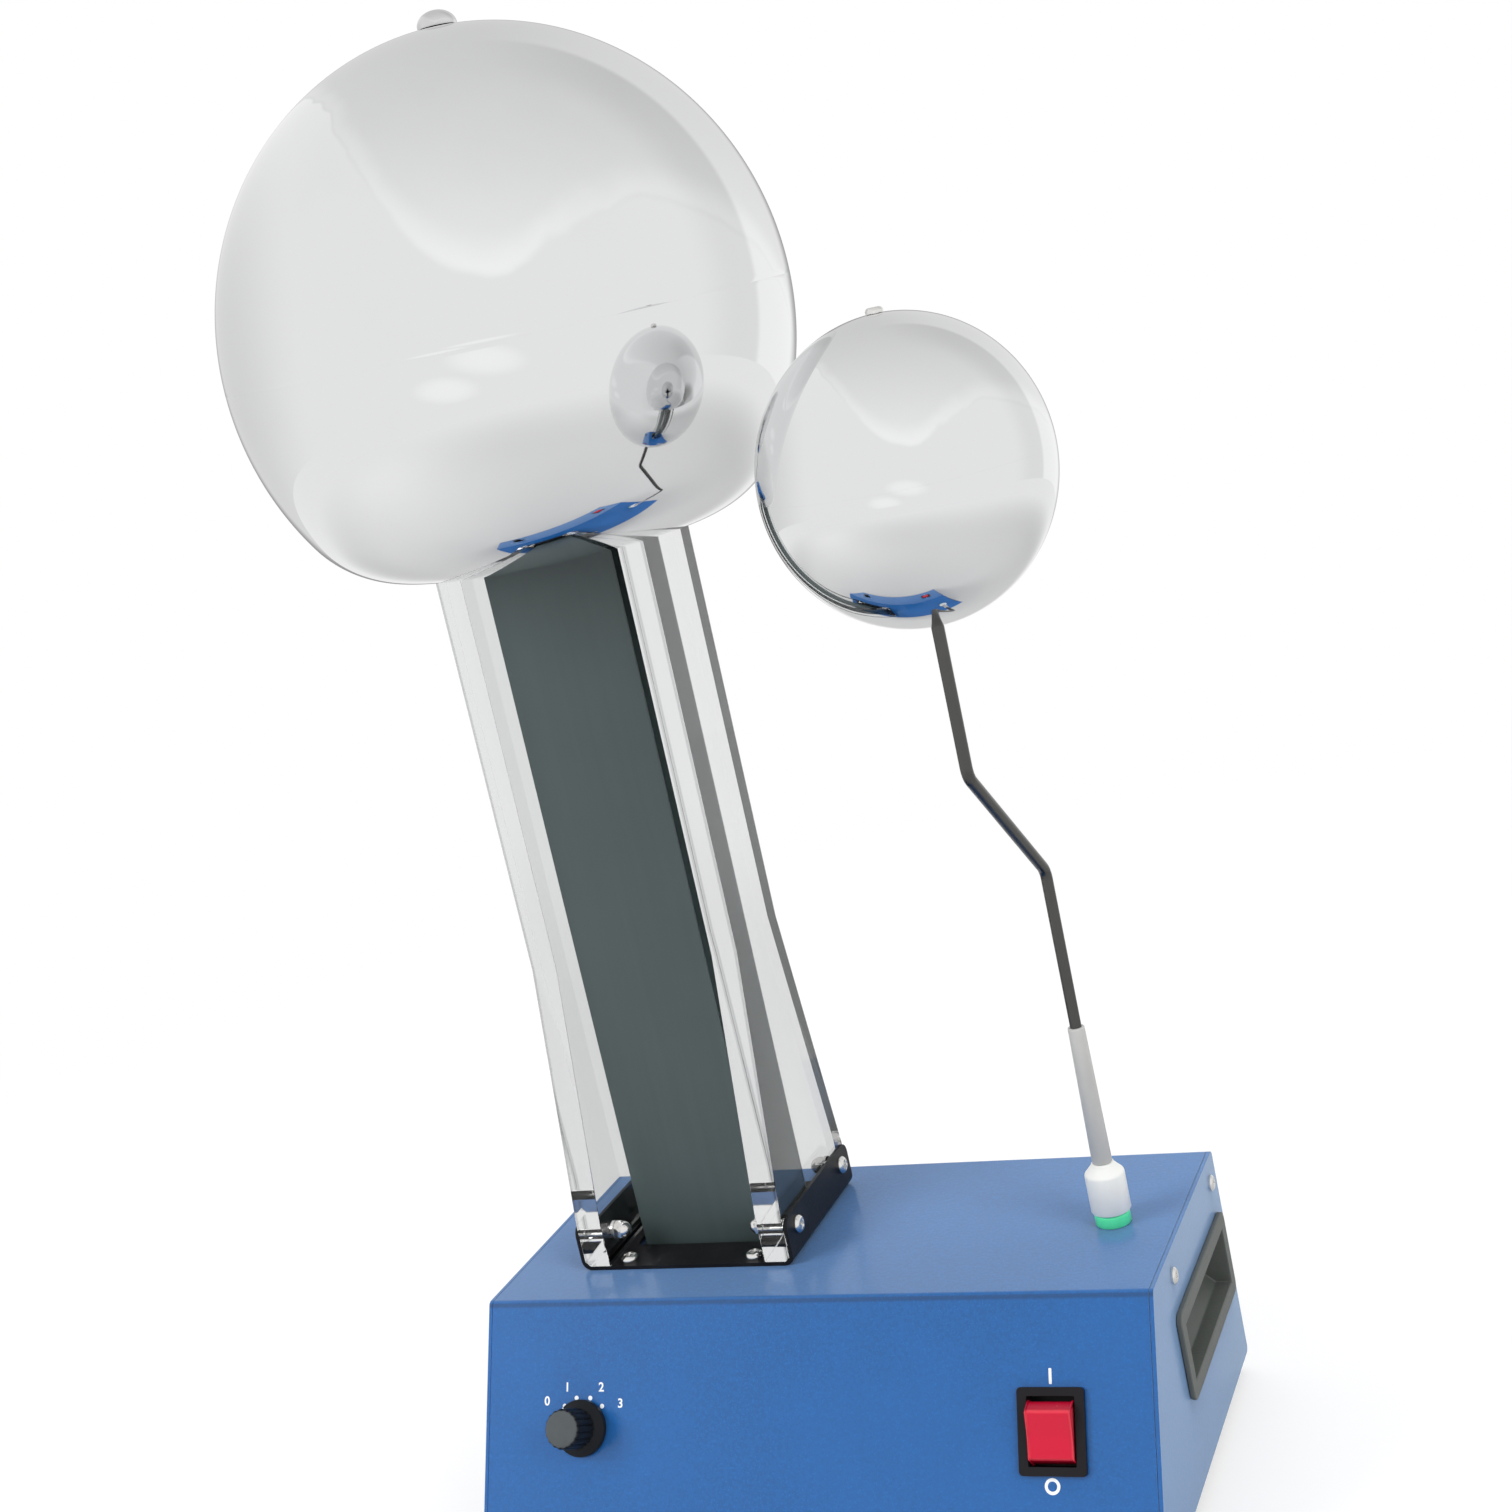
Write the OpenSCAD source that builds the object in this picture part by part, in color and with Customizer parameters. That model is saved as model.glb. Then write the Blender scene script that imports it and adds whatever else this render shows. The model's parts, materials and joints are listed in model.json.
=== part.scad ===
// Motor-driven van de graaff generator with a lift-off dome and a plug-in discharge ball.
// Lengths are in millimetres. Inside the modules, x = 0 is the middle of the case, y = 0 is the
// fold at the front of its top, and z = 0 is the floor. At the end everything is shifted so that
// the origin lies on the floor under the middle of the whole outline.

/* [Case] */
// Width of the sheet-metal case over its side panels
case_w = 275; // [260:1:320]
// Depth of the flat top
top_depth = 116; // [110:1:150]
// Height of the case without its feet
case_h = 90; // [86:1:110]
// How far the foot of the slanted front panel stands before its top
front_reach = 52; // [40:1:60]
// Thickness of the case sheet
sheet_t = 1.5; // [1.2:0.1:2]
// Outer radius of the folds
fold_r = 2.6; // [2.2:0.1:4]
// Height of the rubber feet below the case
feet_h = 8; // [6:1:12]

/* [Column] */
// Place of the column's axis on the case, across
column_x = -58.7; // [-62:0.1:-50]
// Place of the column's axis on the case, back from the front fold
column_y = 61.6; // [58:0.1:66]
// Clear gap between the two upright plates
plate_gap = 69.2; // [66:0.1:72]
// Thickness of the clear plates
plate_t = 11; // [10:0.1:12]
// Depth of the plates above the flare
waist_depth = 43; // [40:1:46]
// Depth of the plates at their foot and of the bracket
foot_depth = 73; // [70:1:80]
// Height above the case top at which the flare ends
flare_h = 126; // [100:1:150]
// Thickness of the bracket's sheet
bracket_t = 1.5; // [1.2:0.1:2]
// Height of the bracket's flanges
flange_h = 19.5; // [17:0.5:24]

/* [Belt drive] */
// Width of the rubber belt
belt_w = 55; // [50:1:58]
// Thickness of the belt
belt_t = 0.9; // [0.6:0.1:1.2]
// Diameter of both rollers at their crown
roller_d = 27; // [24:0.5:29]
// Length of both rollers
roller_l = 60; // [56:1:62]
// Diameter of the axle and of the drive shaft
shaft_d = 6; // [5:0.5:6]
// Depth of the lower roller's axis below the case top
lower_drop = 48; // [44:1:50]
// Height of the upper roller's axis above the case top
upper_rise = 345; // [330:1:350]

/* [Dome] */
// Diameter of the dome at its seam
dome_d = 218; // [210:1:225]
// Height of the dome's full outline over its diameter
dome_stretch = 1.045; // [1:0.005:1.06]
// Height of the seam above the case top
dome_rise = 374; // [370:1:380]
// Depth of the neck's rolled lip below the seam
lip_drop = 83; // [80:0.5:86]
// Inner radius of the neck
neck_r = 54; // [53:0.5:56]
// Wall of the spun dome
dome_wall = 1; // [0.8:0.1:1.5]

/* [Discharge ball] */
// Place of the plug socket, across
socket_x = 111; // [100:1:115]
// Place of the plug socket, back from the front fold
socket_y = 54.5; // [50:0.5:60]
// Diameter of the discharge ball at its seam
ball_d = 100; // [90:1:104]
// Height of the ball's seam above the case top
ball_rise = 305; // [300:1:315]
// Diameter of the cranked rod
rod_d = 4.4; // [4:0.1:5]
// Height above the case top at which the crank starts
crank_low = 143; // [130:1:150]
// Height above the case top at which the crank ends
crank_high = 199; // [190:1:205]
// Reach of the crank towards the front
crank_reach = 65; // [60:1:68]

/* [Controls] */
// Place of the speed knob on the front panel, across
knob_x = -93.4; // [-100:0.1:-80]
// Distance of the knob and the switch below the front fold, along the panel
control_drop = 48.8; // [45:0.1:55]
// Place of the power switch on the front panel, across
switch_x = 98.3; // [90:0.1:105]
// Half of the power rocker's travel
rocker_tilt = 11; // [8:1:12]

/* [Hidden] */
$fn = 64;

touch = 0.1;                     // gap left between faces that rest on each other
fit = 0.05;                      // radial clearance of everything that turns or slides in a bore
seam = 0.2;                      // gap between the case cover and the side panels
case_top = feet_h + case_h;
side_x = case_w / 2;             // outer face of the side panels
cover_w = case_w - 2 * (sheet_t + seam);
panel_tilt = atan(front_reach / case_h);
dome_r = dome_d / 2;
dome_z = case_top + dome_rise;
ball_r = ball_d / 2;
ball_z = case_top + ball_rise;
ball_y = socket_y - crank_reach;
roller_r = roller_d / 2;
shaft_r = shaft_d / 2;
lower_z = case_top - lower_drop;
upper_z = case_top + upper_rise;
belt_in = roller_r + 0.3;        // the belt's inner radius round each roller
bracket_in = plate_gap / 2 + plate_t + touch;
bracket_out = bracket_in + bracket_t;
plate_mid = plate_gap / 2 + plate_t / 2;
seat_z = dome_z - lip_drop + 12; // underside of the seat disc
seat_t = 2;
seat_depth = 34;                 // depth of the plates above the seat's shoulders
base_screw = [28, 31];           // screws of the bracket's base, from the column's axis
flange_screw = [26.5, 13];       // screws of the flanges: along the depth and up

bearing_r = 8;                   // outer radius of all three ball bearings
bearing_w = 5;
spin_gap = 0.3;                  // end gap between what turns and what stands still
screw_r = 2;                     // shank of the column's screws
nut_h = 3.2;
lap = 5;                         // how far the halves of the dome and the ball overlap at the seam
dome_blend = 33;                 // latitude below the seam where the dome turns in to its neck
lip_r = 6;                       // radius of the neck's rolled lip
finial_r = 7.5;
finial_h = 5.5;
frame_half = 39;                 // half of the width of the drive frame under the case top
frame_t = 2;
web_z = -sheet_t - touch;        // top of the drive frame's web, from the case top
motor_r = 22;
motor_l = 60;
plug_gap = 0.3;
pin_r = 1.5;
cage_r = 2;                      // outer radius of the plug's spring cage
collar_r = 6.6;
collar_h = 3.7;
body_top = 25.2;                 // top of the plug's body, above the case
sleeve_top = 80.5;
bend_r = 8;                      // bends of the cranked rod, at its middle

rim_out = 2.2;                   // how far the handles' rims stand out of the side panels
inlet_flange = 2.5;              // thickness of the power inlet's flange behind the case

// The whole outline, and the shift that puts the origin under its middle
outline_left = min(-side_x - rim_out, column_x - dome_r);
outline_right = max(side_x + rim_out, socket_x + ball_r);
outline_front = min(-front_reach, ball_y - ball_r, column_y - dome_r);
outline_back = max(top_depth + inlet_flange, column_y + dome_r);
mid_x = (outline_left + outline_right) / 2;
mid_y = (outline_front + outline_back) / 2;

// ---- shared shapes ----

function arc(c, r, a0, a1, n = 8) =
    [for (i = [0:n]) let (a = a0 + (a1 - a0) * i / n) c + r * [cos(a), sin(a)]];
function unit(v) = v / norm(v);
function left_of(v) = [-v.y, v.x];
function reversed(p) = [for (i = [len(p) - 1:-1:0]) p[i]];
// The path moved t to its left, with mitred corners
function shifted(p, t) = [for (i = [0:len(p) - 1])
    let (a = left_of(unit(p[max(i, 1)] - p[max(i, 1) - 1])),
         b = left_of(unit(p[min(i + 1, len(p) - 1)] - p[min(i, len(p) - 2)])))
    p[i] + t * (a + b) / (1 + a * b)];
// An arc of radius r in place of the corner b between a and c
function fillet(a, b, c, r, n = 6) =
    let (u = unit(a - b), v = unit(c - b), half = acos(u * v) / 2, o = b + unit(u + v) * r / sin(half),
         s = b + u * r / tan(half) - o, e = b + v * r / tan(half) - o,
         from = atan2(s.y, s.x), sweep = atan2(s.x * e.y - s.y * e.x, s * e))
    arc(o, r, from, from + sweep, n);
function folded(p, r) = concat([p[0]],
    [for (i = [1:len(p) - 2]) each fillet(p[i - 1], p[i], p[i + 1], r)], [p[len(p) - 1]]);
// A bent sheet: outer path p with the sheet t thick on its left
function sheet_outline(p, t, r) = concat(folded(p, r), reversed(folded(shifted(p, t), r - t)));
function rounded_rect(w, h, r) = concat(
    arc([w / 2 - r, h / 2 - r], r, 0, 90, 5), arc([r - w / 2, h / 2 - r], r, 90, 180, 5),
    arc([r - w / 2, r - h / 2], r, 180, 270, 5), arc([w / 2 - r, r - h / 2], r, 270, 360, 5));

module along_x(l) { rotate([90, 0, 90]) linear_extrude(l, center = true) children(); }
module along_y(l) { rotate([90, 0, 0]) linear_extrude(l, center = true) children(); }
module rod_x(r, l) { rotate([0, 90, 0]) cylinder(r = r, h = l, center = true); }
module rod_y(r, l) { rotate([90, 0, 0]) cylinder(r = r, h = l, center = true); }
module place() { translate([-mid_x, -mid_y, 0]) children(); }
module on_column() { translate([column_x, column_y, case_top]) children(); }
// On the slanted front panel: x across, y up along the panel from the fold, z outwards
module on_panel(x, y) {
    translate([0, 0, case_top]) rotate([90 - panel_tilt, 0, 0]) translate([x, y, 0]) children();
}
module on_socket() { translate([socket_x, socket_y, case_top]) children(); }
module four(p) { for (x = [-1, 1], y = [-1, 1]) translate([x * p.x, y * p.y, 0]) children(); }
// A pan head on z = 0 with its shank going down
module pan_screw(head_r, head_h, shank_r, shank_l) {
    rotate_extrude() polygon(concat([[0, -shank_l], [shank_r, -shank_l], [shank_r, 0], [head_r, 0]],
        arc([head_r * 0.62, head_h * 0.4], head_r * 0.38, 0, 60, 4), [[head_r * 0.5, head_h], [0, head_h]]));
}
module tube(r_out, r_in, h) {
    difference() {
        cylinder(r = r_out, h = h);
        translate([0, 0, -1]) cylinder(r = r_in, h = h + 2);
    }
}
module hex_nut(across, h, hole_r) {
    difference() {
        cylinder(d = across / cos(30), h = h, $fn = 6);
        translate([0, 0, -1]) cylinder(r = hole_r, h = h + 2);
    }
}

// ---- case ----

side_screw = [[27.5, -9], [104, -9], [-28, 11 - case_h]];  // y, and z from the top
handle_at = [64, -40];           // middle of the handles: y, and z from the case top
handle_size = [88, 35.5];
handle_hole = [80, 28];
switch_hole = [22.4, 28.2];
inlet_at = [68, -46];            // middle of the power inlet: x, and z from the case top
inlet_hole = [27.4, 20.4];
inlet_pitch = 40;
foot_at = [115, 55];             // feet, from their middle
foot_mid_y = 33;

function case_path() = [[-front_reach + 16, feet_h], [-front_reach, feet_h], [0, case_top],
    [top_depth, case_top], [top_depth, feet_h], [top_depth - 16, feet_h]];

// Front, top and back folded from one sheet, with a lip at each end and a flange at each side
module case_cover() color("mediumblue") place() difference() {
    union() {
        along_x(cover_w) polygon(sheet_outline(reversed(case_path()), sheet_t, fold_r));
        for (s = [-1, 1]) translate([s * (cover_w / 2 - sheet_t / 2), top_depth / 2 + 2, case_top - 8])
            cube([sheet_t, top_depth - 24, 14], center = true);
    }
    on_column() cube([64, 38, 12], center = true);
    on_column() four(base_screw) translate([0, 0, -6]) cylinder(r = 2.15, h = 10);
    on_socket() translate([0, 0, -6]) cylinder(r = 4.7, h = 10);
    on_panel(knob_x, -control_drop) translate([0, 0, -6]) cylinder(r = 4.7, h = 10);
    on_panel(switch_x, -control_drop) cube([switch_hole.x, switch_hole.y, 12], center = true);
    translate([inlet_at.x, top_depth, case_top + inlet_at.y]) {
        cube([inlet_hole.x, 12, inlet_hole.y], center = true);
        for (s = [-1, 1]) translate([s * inlet_pitch / 2, 0, 0]) rod_y(1.7, 12);
    }
    for (s = side_screw) if (s.y > -20) translate([0, s.x, case_top + s.y]) rod_x(1.7, case_w);
}

module side_panel(side) color("cornflowerblue") place() difference() {
    translate([side * (side_x - sheet_t / 2), 0, 0]) along_x(sheet_t)
        polygon(folded(reversed(case_path()), fold_r));
    translate([0, handle_at.x, case_top + handle_at.y])
        cube([case_w * 2, handle_hole.x, handle_hole.y], center = true);
    for (s = side_screw) translate([side * side_x, s.x, case_top + s.y]) rod_x(1.7, 12);
}
module side_panel_left() side_panel(-1);
module side_panel_right() side_panel(1);

// The bottom, resting on the cover's lips, with a flange up each side
module bottom_plate() color("royalblue") place() difference() {
    floor_z = feet_h + sheet_t + touch;
    tray_w = case_w - 2 * sheet_t - 2 * touch;
    translate([0, (top_depth - front_reach) / 2, 0]) along_y(top_depth + front_reach - 12)
        polygon(sheet_outline([[-tray_w / 2, floor_z + 17], [-tray_w / 2, floor_z],
            [tray_w / 2, floor_z], [tray_w / 2, floor_z + 17]], sheet_t, fold_r));
    translate([0, foot_mid_y, 0]) four(foot_at) cylinder(r = 2.2, h = 20);
    // The ends of the flanges stay clear of the folds of the cover
    for (s = [-1, 1]) translate([s * tray_w / 2, -front_reach, floor_z + 3])
        cube([8, 34, 40], center = true);
    for (s = side_screw) if (s.y < -20) translate([0, s.x, case_top + s.y]) rod_x(1.7, case_w);
    board_place() four(board_hole) translate([0, 0, -10]) cylinder(r = 1.7, h = 20);
}

module case_screws() color("gainsboro") place()
    for (side = [-1, 1], s = side_screw) translate([side * (side_x + touch / 2), s.x, case_top + s.y])
        rotate([0, side * 90, 0]) pan_screw(3.2, 1.9, 1.6, 7);

module rubber_feet() color("dimgray") place() translate([0, foot_mid_y, 0]) four(foot_at)
    rotate_extrude() polygon([[5.5, 0], [9, 0], [10, 1], [11, feet_h + sheet_t],
        [2.2, feet_h + sheet_t], [2.2, 4.5], [5.5, 4.5]]);

module foot_screws() color("silver") place() translate([0, foot_mid_y, 0]) four(foot_at) {
    translate([0, 0, 4.4]) mirror([0, 0, 1]) pan_screw(3.8, 2.6, 2, 12);
    translate([0, 0, feet_h + 2 * sheet_t + 3 * touch]) hex_nut(7, 3.2, 2.02);
}

// A moulded pull: a rim outside, and a cup whose floor slopes up to the finger hollow
module carry_handle(side) color([0.16, 0.16, 0.17]) place()
    translate([side * side_x, handle_at.x, case_top + handle_at.y]) mirror([side < 0 ? 1 : 0, 0, 0])
    difference() {
        union() {
            translate([touch + rim_out / 2, 0, 0]) along_x(rim_out)
                polygon(rounded_rect(handle_size.x, handle_size.y, 4));
            along_y(handle_hole.x - 0.4)
                polygon([[rim_out, -13.6], [-5, -13.6], [-23, 2], [-27, 6], [-27, 13.6], [rim_out, 13.6]]);
        }
        along_y(handle_hole.x - 4.4)
            polygon([[rim_out + 1, -11.6], [-4.3, -11.6], [-21.8, 3.6], [-25, 6.8], [-25, 11.6],
                [rim_out + 1, 11.6]]);
    }
module carry_handle_left() carry_handle(-1);
module carry_handle_right() carry_handle(1);

// ---- power inlet at the back ----

module at_inlet() translate([inlet_at.x, top_depth, case_top + inlet_at.y]) children();

module power_inlet() color("black") place() at_inlet() difference() {
    union() {
        translate([0, touch + inlet_flange / 2, 0]) along_y(inlet_flange)
            polygon([for (p = [[25, 0], [25, 5], [16, 11.5], [-16, 11.5], [-25, 5], [-25, -5],
                [-16, -11.5], [16, -11.5], [25, -5]]) p]);
        translate([0, -10, 0]) cube([27, 20.4, 20], center = true);
    }
    // The mouth, with its two slanted upper corners
    translate([0, -6, 0]) along_y(18) polygon([[-12.2, -8.2], [12.2, -8.2], [12.2, 3.6], [7.8, 8.2],
        [-7.8, 8.2], [-12.2, 3.6]]);
    for (s = [-1, 1]) translate([s * inlet_pitch / 2, 0, 0]) rod_y(1.8, 12);
    for (s = [-1, 0, 1]) translate([s * 7, -17, s == 0 ? 2 : -2]) cube([2.1, 14, 4.1], center = true);
}
module inlet_pins() color("silver") place() at_inlet()
    for (s = [-1, 0, 1]) translate([s * 7, -15.5, s == 0 ? 2 : -2]) cube([2, 19, 4], center = true);
module inlet_screws() color("gray") place() at_inlet()
    for (s = [-1, 1]) translate([s * inlet_pitch / 2, inlet_flange + 2 * touch, 0])
        rotate([-90, 0, 0]) pan_screw(2.9, 1.6, 1.5, 9);

// ---- controls on the front panel ----

module speed_switch() color("darkslategray") place() on_panel(knob_x, -control_drop) difference() {
    union() {
        translate([0, 0, -sheet_t - 15]) cylinder(r = 12, h = 15 - touch);
        translate([0, 0, -sheet_t - 1]) cylinder(r = 4.5, h = sheet_t + 5.4);
        for (a = [-75:30:75]) rotate(a) translate([0, -13, -sheet_t - 9]) cube([2, 8, 0.8], center = true);
    }
    translate([0, 0, -sheet_t - 9]) cylinder(r = shaft_r + fit, h = 20);
}
module switch_nut() color("silver") place() on_panel(knob_x, -control_drop)
    translate([0, 0, touch]) hex_nut(12, 2, 4.55);
module speed_spindle() color("silver") place() on_panel(knob_x, -control_drop)
    translate([0, 0, -sheet_t - 8.5]) cylinder(r = shaft_r, h = 25.5);

// A skirted knob with a fluted grip, and a pointer groove on its face and its skirt
knob_flutes = 18;
knob_r = 7.5;
module speed_knob() color([0.07, 0.07, 0.08]) place() on_panel(knob_x, -control_drop) difference() {
    union() {
        rotate_extrude() polygon(concat([[5.2, 2.8], [8.4, 2.8], [8.4, 0.8], [10.9, 0.8]],
            arc([9.9, 2.6], 1, 0, 75, 4), [[8, 5.2], [5.2, 5.2]]));
        translate([0, 0, 5]) linear_extrude(12.2) polygon([for (i = [0:6 * knob_flutes - 1])
            let (a = i * 60 / knob_flutes) (knob_r + 0.3 * cos(a * knob_flutes)) * [cos(a), sin(a)]]);
        translate([0, 0, 17.1]) cylinder(r1 = knob_r - 0.4, r2 = knob_r - 1.2, h = 0.9);
    }
    translate([0, 0, 4]) cylinder(r = shaft_r + 0.02, h = 11.8);
    rotate(135) translate([4.2, 0, 18]) cube([5, 0.9, 1], center = true);
    rotate(135) translate([9.7, 0, 3.5]) cube([3.2, 0.9, 1], center = true);
}

module rocker_housing() color("black") place() on_panel(switch_x, -control_drop) difference() {
    union() {
        translate([0, 0, touch]) linear_extrude(1.9) polygon(rounded_rect(25.2, 30.8, 1.6));
        translate([0, 0, -20]) linear_extrude(21) polygon(rounded_rect(22, 27.8, 0.6));
        for (x = [-5, 5], y = [-8, 0, 8]) translate([x, y, -23]) cube([0.8, 4.8, 8], center = true);
    }
    translate([0, 0, -7]) linear_extrude(12) polygon(rounded_rect(rocker_w + 0.6, 24.4, 0.4));
    translate([0, 0, rocker_pivot]) rod_x(1 + fit, 21.6);
}

rocker_pivot = -3;               // depth of the rocker's pivot below the panel's face
rocker_w = 17.4;
// Off: the lower end is pressed in and the upper one stands out
module power_rocker() color("crimson") place() on_panel(switch_x, -control_drop)
    translate([0, 0, rocker_pivot]) rotate([rocker_tilt, 0, 0]) {
        along_x(rocker_w) polygon(concat(arc([0, -0.5], 3.4, 200, 340, 6), [[10.6, 2.6], [11, 4.4]],
            arc([0, 65], 57.6, 270 + 8.4, 270 - 8.4, 10), [[-11, 4.4], [-10.6, 2.6]]));
        rod_x(1, 21.3);
    }

// ---- control board on the bottom ----

board_at = [74, 42];
board_size = [70, 50, 1.6];
board_hole = [30, 20];
board_lift = 8;

module board_place() translate([board_at.x, board_at.y, feet_h + 2 * (sheet_t + touch)]) children();

module control_board() color("darkgreen") place() board_place() translate([0, 0, board_lift + touch])
    difference() {
        translate([-board_size.x / 2, -board_size.y / 2, 0]) cube(board_size);
        four(board_hole) translate([0, 0, -1]) cylinder(r = 1.6, h = 4);
    }
// Smoothing capacitor, finned heat sink, choke, relay and terminal block
module board_parts() color("orange") place() board_place()
    translate([0, 0, board_lift + board_size.z + 2 * touch]) {
        translate([-20, -8, 0]) cylinder(r = 6, h = 14);
        translate([6, 14, 0]) difference() {
            translate([-14, -5, 0]) cube([28, 10, 13]);
            for (i = [-2:2]) translate([i * 5 - 1.5, -2.6, -1]) cube([3, 8, 16]);
        }
        translate([6, -8, 0]) tube(7, 3, 6);
        translate([-22, 6, 0]) cube([12, 10, 9]);
        translate([22, -12, 0]) cube([8, 22, 9]);
    }
module board_standoffs() color("white") place() board_place() four(board_hole) {
    cylinder(r = 3, h = board_lift);
    translate([0, 0, -3.4]) cylinder(r = 1.5, h = board_lift + 6.8);
}

// ---- column ----

plate_foot = bracket_t + 2 * touch;
plate_chamfer = 2;               // clears the fold inside the bracket
bracket_fold = 4;
belt_slot = [62, 36];

module base_bracket() color([0.13, 0.13, 0.14]) place() on_column() difference() {
    intersection() {
        along_y(foot_depth) polygon(sheet_outline([[-bracket_out, flange_h], [-bracket_out, touch],
            [bracket_out, touch], [bracket_out, flange_h]], bracket_t, bracket_fold));
        along_x(2 * bracket_out + 2) polygon(concat([[-foot_depth / 2, 0], [foot_depth / 2, 0]],
            arc([foot_depth / 2 - 5, flange_h - 5], 5, 0, 90, 6),
            arc([5 - foot_depth / 2, flange_h - 5], 5, 90, 180, 6)));
    }
    linear_extrude(6, center = true) polygon(rounded_rect(belt_slot.x, belt_slot.y, 3));
    four(base_screw) cylinder(r = screw_r + 0.15, h = 8, center = true);
    for (y = [-1, 1]) translate([0, y * flange_screw.x, flange_screw.y])
        rod_x(screw_r + 0.15, 2 * bracket_out + 4);
}

// Down through the bracket, the case top and the drive frame, with a nut below
module bracket_screws() color("gainsboro") place() on_column() four(base_screw) {
    translate([0, 0, plate_foot]) pan_screw(3.6, 2.4, screw_r, plate_foot + 7.6);
    translate([0, 0, web_z - frame_t - touch - nut_h]) hex_nut(7, nut_h, screw_r + 0.02);
}

// A clear plate: wide at the foot, waisted, with shoulders for the seat and a round top
module column_plate(side) color([0.85, 0.93, 0.95, 0.5]) place() on_column() difference() {
    shoulder_z = seat_z - case_top - touch;
    translate([side * plate_mid, 0, 0]) along_x(plate_t) polygon(concat(
        [[-foot_depth / 2, plate_foot], [foot_depth / 2, plate_foot], [foot_depth / 2, flange_h],
         [waist_depth / 2, flare_h], [waist_depth / 2, shoulder_z], [seat_depth / 2, shoulder_z]],
        arc([0, upper_rise], seat_depth / 2, 0, 180, 24),
        [[-seat_depth / 2, shoulder_z], [-waist_depth / 2, shoulder_z], [-waist_depth / 2, flare_h],
         [-foot_depth / 2, flange_h]]));
    translate([side * (plate_gap / 2 + plate_t), 0, plate_foot]) rotate([0, 45, 0])
        cube([plate_chamfer * sqrt(2), foot_depth + 2, plate_chamfer * sqrt(2)], center = true);
    for (y = [-1, 1]) translate([side * plate_mid, y * flange_screw.x, flange_screw.y])
        rod_x(screw_r + 0.15, plate_t + 2);
    translate([side * plate_mid, 0, upper_rise]) rod_x(shaft_r + fit, plate_t + 2);
}
module plate_left() column_plate(-1);
module plate_right() column_plate(1);

// Each child at a flange screw, on x = 0 with z pointing outwards
module at_flange_screws(x) for (side = [-1, 1], y = [-1, 1])
    translate([side * x, y * flange_screw.x, flange_screw.y]) rotate([0, side * 90, 0]) children();

module plate_screws() color("gainsboro") place() on_column() at_flange_screws(bracket_out + touch)
    pan_screw(3.6, 2.4, screw_r, bracket_t + plate_t + touch + 3.4);
// Inside: a spacer and an acorn nut on each screw
module plate_nuts() color("gainsboro") place() on_column() at_flange_screws(plate_gap / 2 - touch)
    mirror([0, 0, 1]) {
        tube(4, screw_r + 0.1, 1.2);
        translate([0, 0, 1.3]) difference() {
            union() {
                cylinder(d = 7 / cos(30), h = 3, $fn = 6);
                translate([0, 0, 2.9]) rotate_extrude() polygon(concat([[0, 0]],
                    arc([0, 0], 3.4, 0, 90, 10)));
            }
            translate([0, 0, -1]) cylinder(r = screw_r + 0.02, h = 3.2);
        }
    }

// ---- belt drive ----

module belt_loop(r) {
    for (z = [-lower_drop, upper_rise]) translate([0, z]) circle(r = r);
    translate([-r, -lower_drop]) square([2 * r, lower_drop + upper_rise]);
}
module drive_belt() color([0.3, 0.34, 0.34]) place() on_column() along_x(belt_w) difference() {
    belt_loop(belt_in + belt_t);
    belt_loop(belt_in);
}

// Crowned roller along x, bored to bore_r, with pockets of radius pocket_r at its ends
module crowned_roller(bore_r, pocket_r, pocket_l) rotate([0, 90, 0]) rotate_extrude() {
    half = roller_l / 2;
    polygon([[bore_r, pocket_l - half], [pocket_r, pocket_l - half], [pocket_r, -half],
        [roller_r - 1.1, -half], [roller_r - 0.5, 0.6 - half], [roller_r, -roller_l / 6],
        [roller_r, roller_l / 6], [roller_r - 0.5, half - 0.6], [roller_r - 1.1, half],
        [pocket_r, half], [pocket_r, half - pocket_l], [bore_r, half - pocket_l]]);
}
module upper_roller() color("white") place() on_column() translate([0, 0, upper_rise])
    crowned_roller(shaft_r + 1, bearing_r + 0.02, bearing_w);
module upper_bearings() color("silver") place() on_column()
    for (side = [-1, 1]) translate([side * (roller_l - bearing_w) / 2, 0, upper_rise])
        rotate([0, 90, 0]) translate([0, 0, touch - bearing_w / 2])
            tube(bearing_r - 0.02, shaft_r + fit, bearing_w - 2 * touch);
module upper_axle() color("silver") place() on_column() translate([0, 0, upper_rise])
    rod_x(shaft_r, 2 * (bracket_in + 2.9));
module axle_spacers() color("white") place() on_column()
    for (side = [-1, 1]) translate([side * (roller_l / 2 + spin_gap), 0, upper_rise])
        rotate([0, side * 90, 0]) tube(shaft_r + 1.5, shaft_r + fit, plate_gap / 2 - roller_l / 2 - spin_gap - touch);
module axle_nuts() color("silver") place() on_column()
    for (side = [-1, 1]) translate([side * bracket_in, 0, upper_rise])
        rotate([0, side * 90, 0]) hex_nut(10, 2.5, shaft_r + 0.02);

// ---- seat of the dome, with the upper comb ----

seat_window = [60, 36];
comb_half = 20;                  // half of the width of both comb brackets
comb_t = 0.5;
comb_gap = 2.5;                  // gap between the combs' points and the belt
comb_tip = belt_in + belt_t + comb_gap;

module dome_seat() color("silver") place() on_column() translate([0, 0, seat_z - case_top]) difference() {
    cylinder(r = neck_r - 0.4, h = seat_t);
    cube([seat_window.x, seat_window.y, 3 * seat_t], center = true);
    for (side = [-1, 1]) translate([side * plate_mid, 0, 0])
        cube([plate_t + 2 * touch, seat_depth + 2 * touch, 3 * seat_t], center = true);
}

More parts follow.
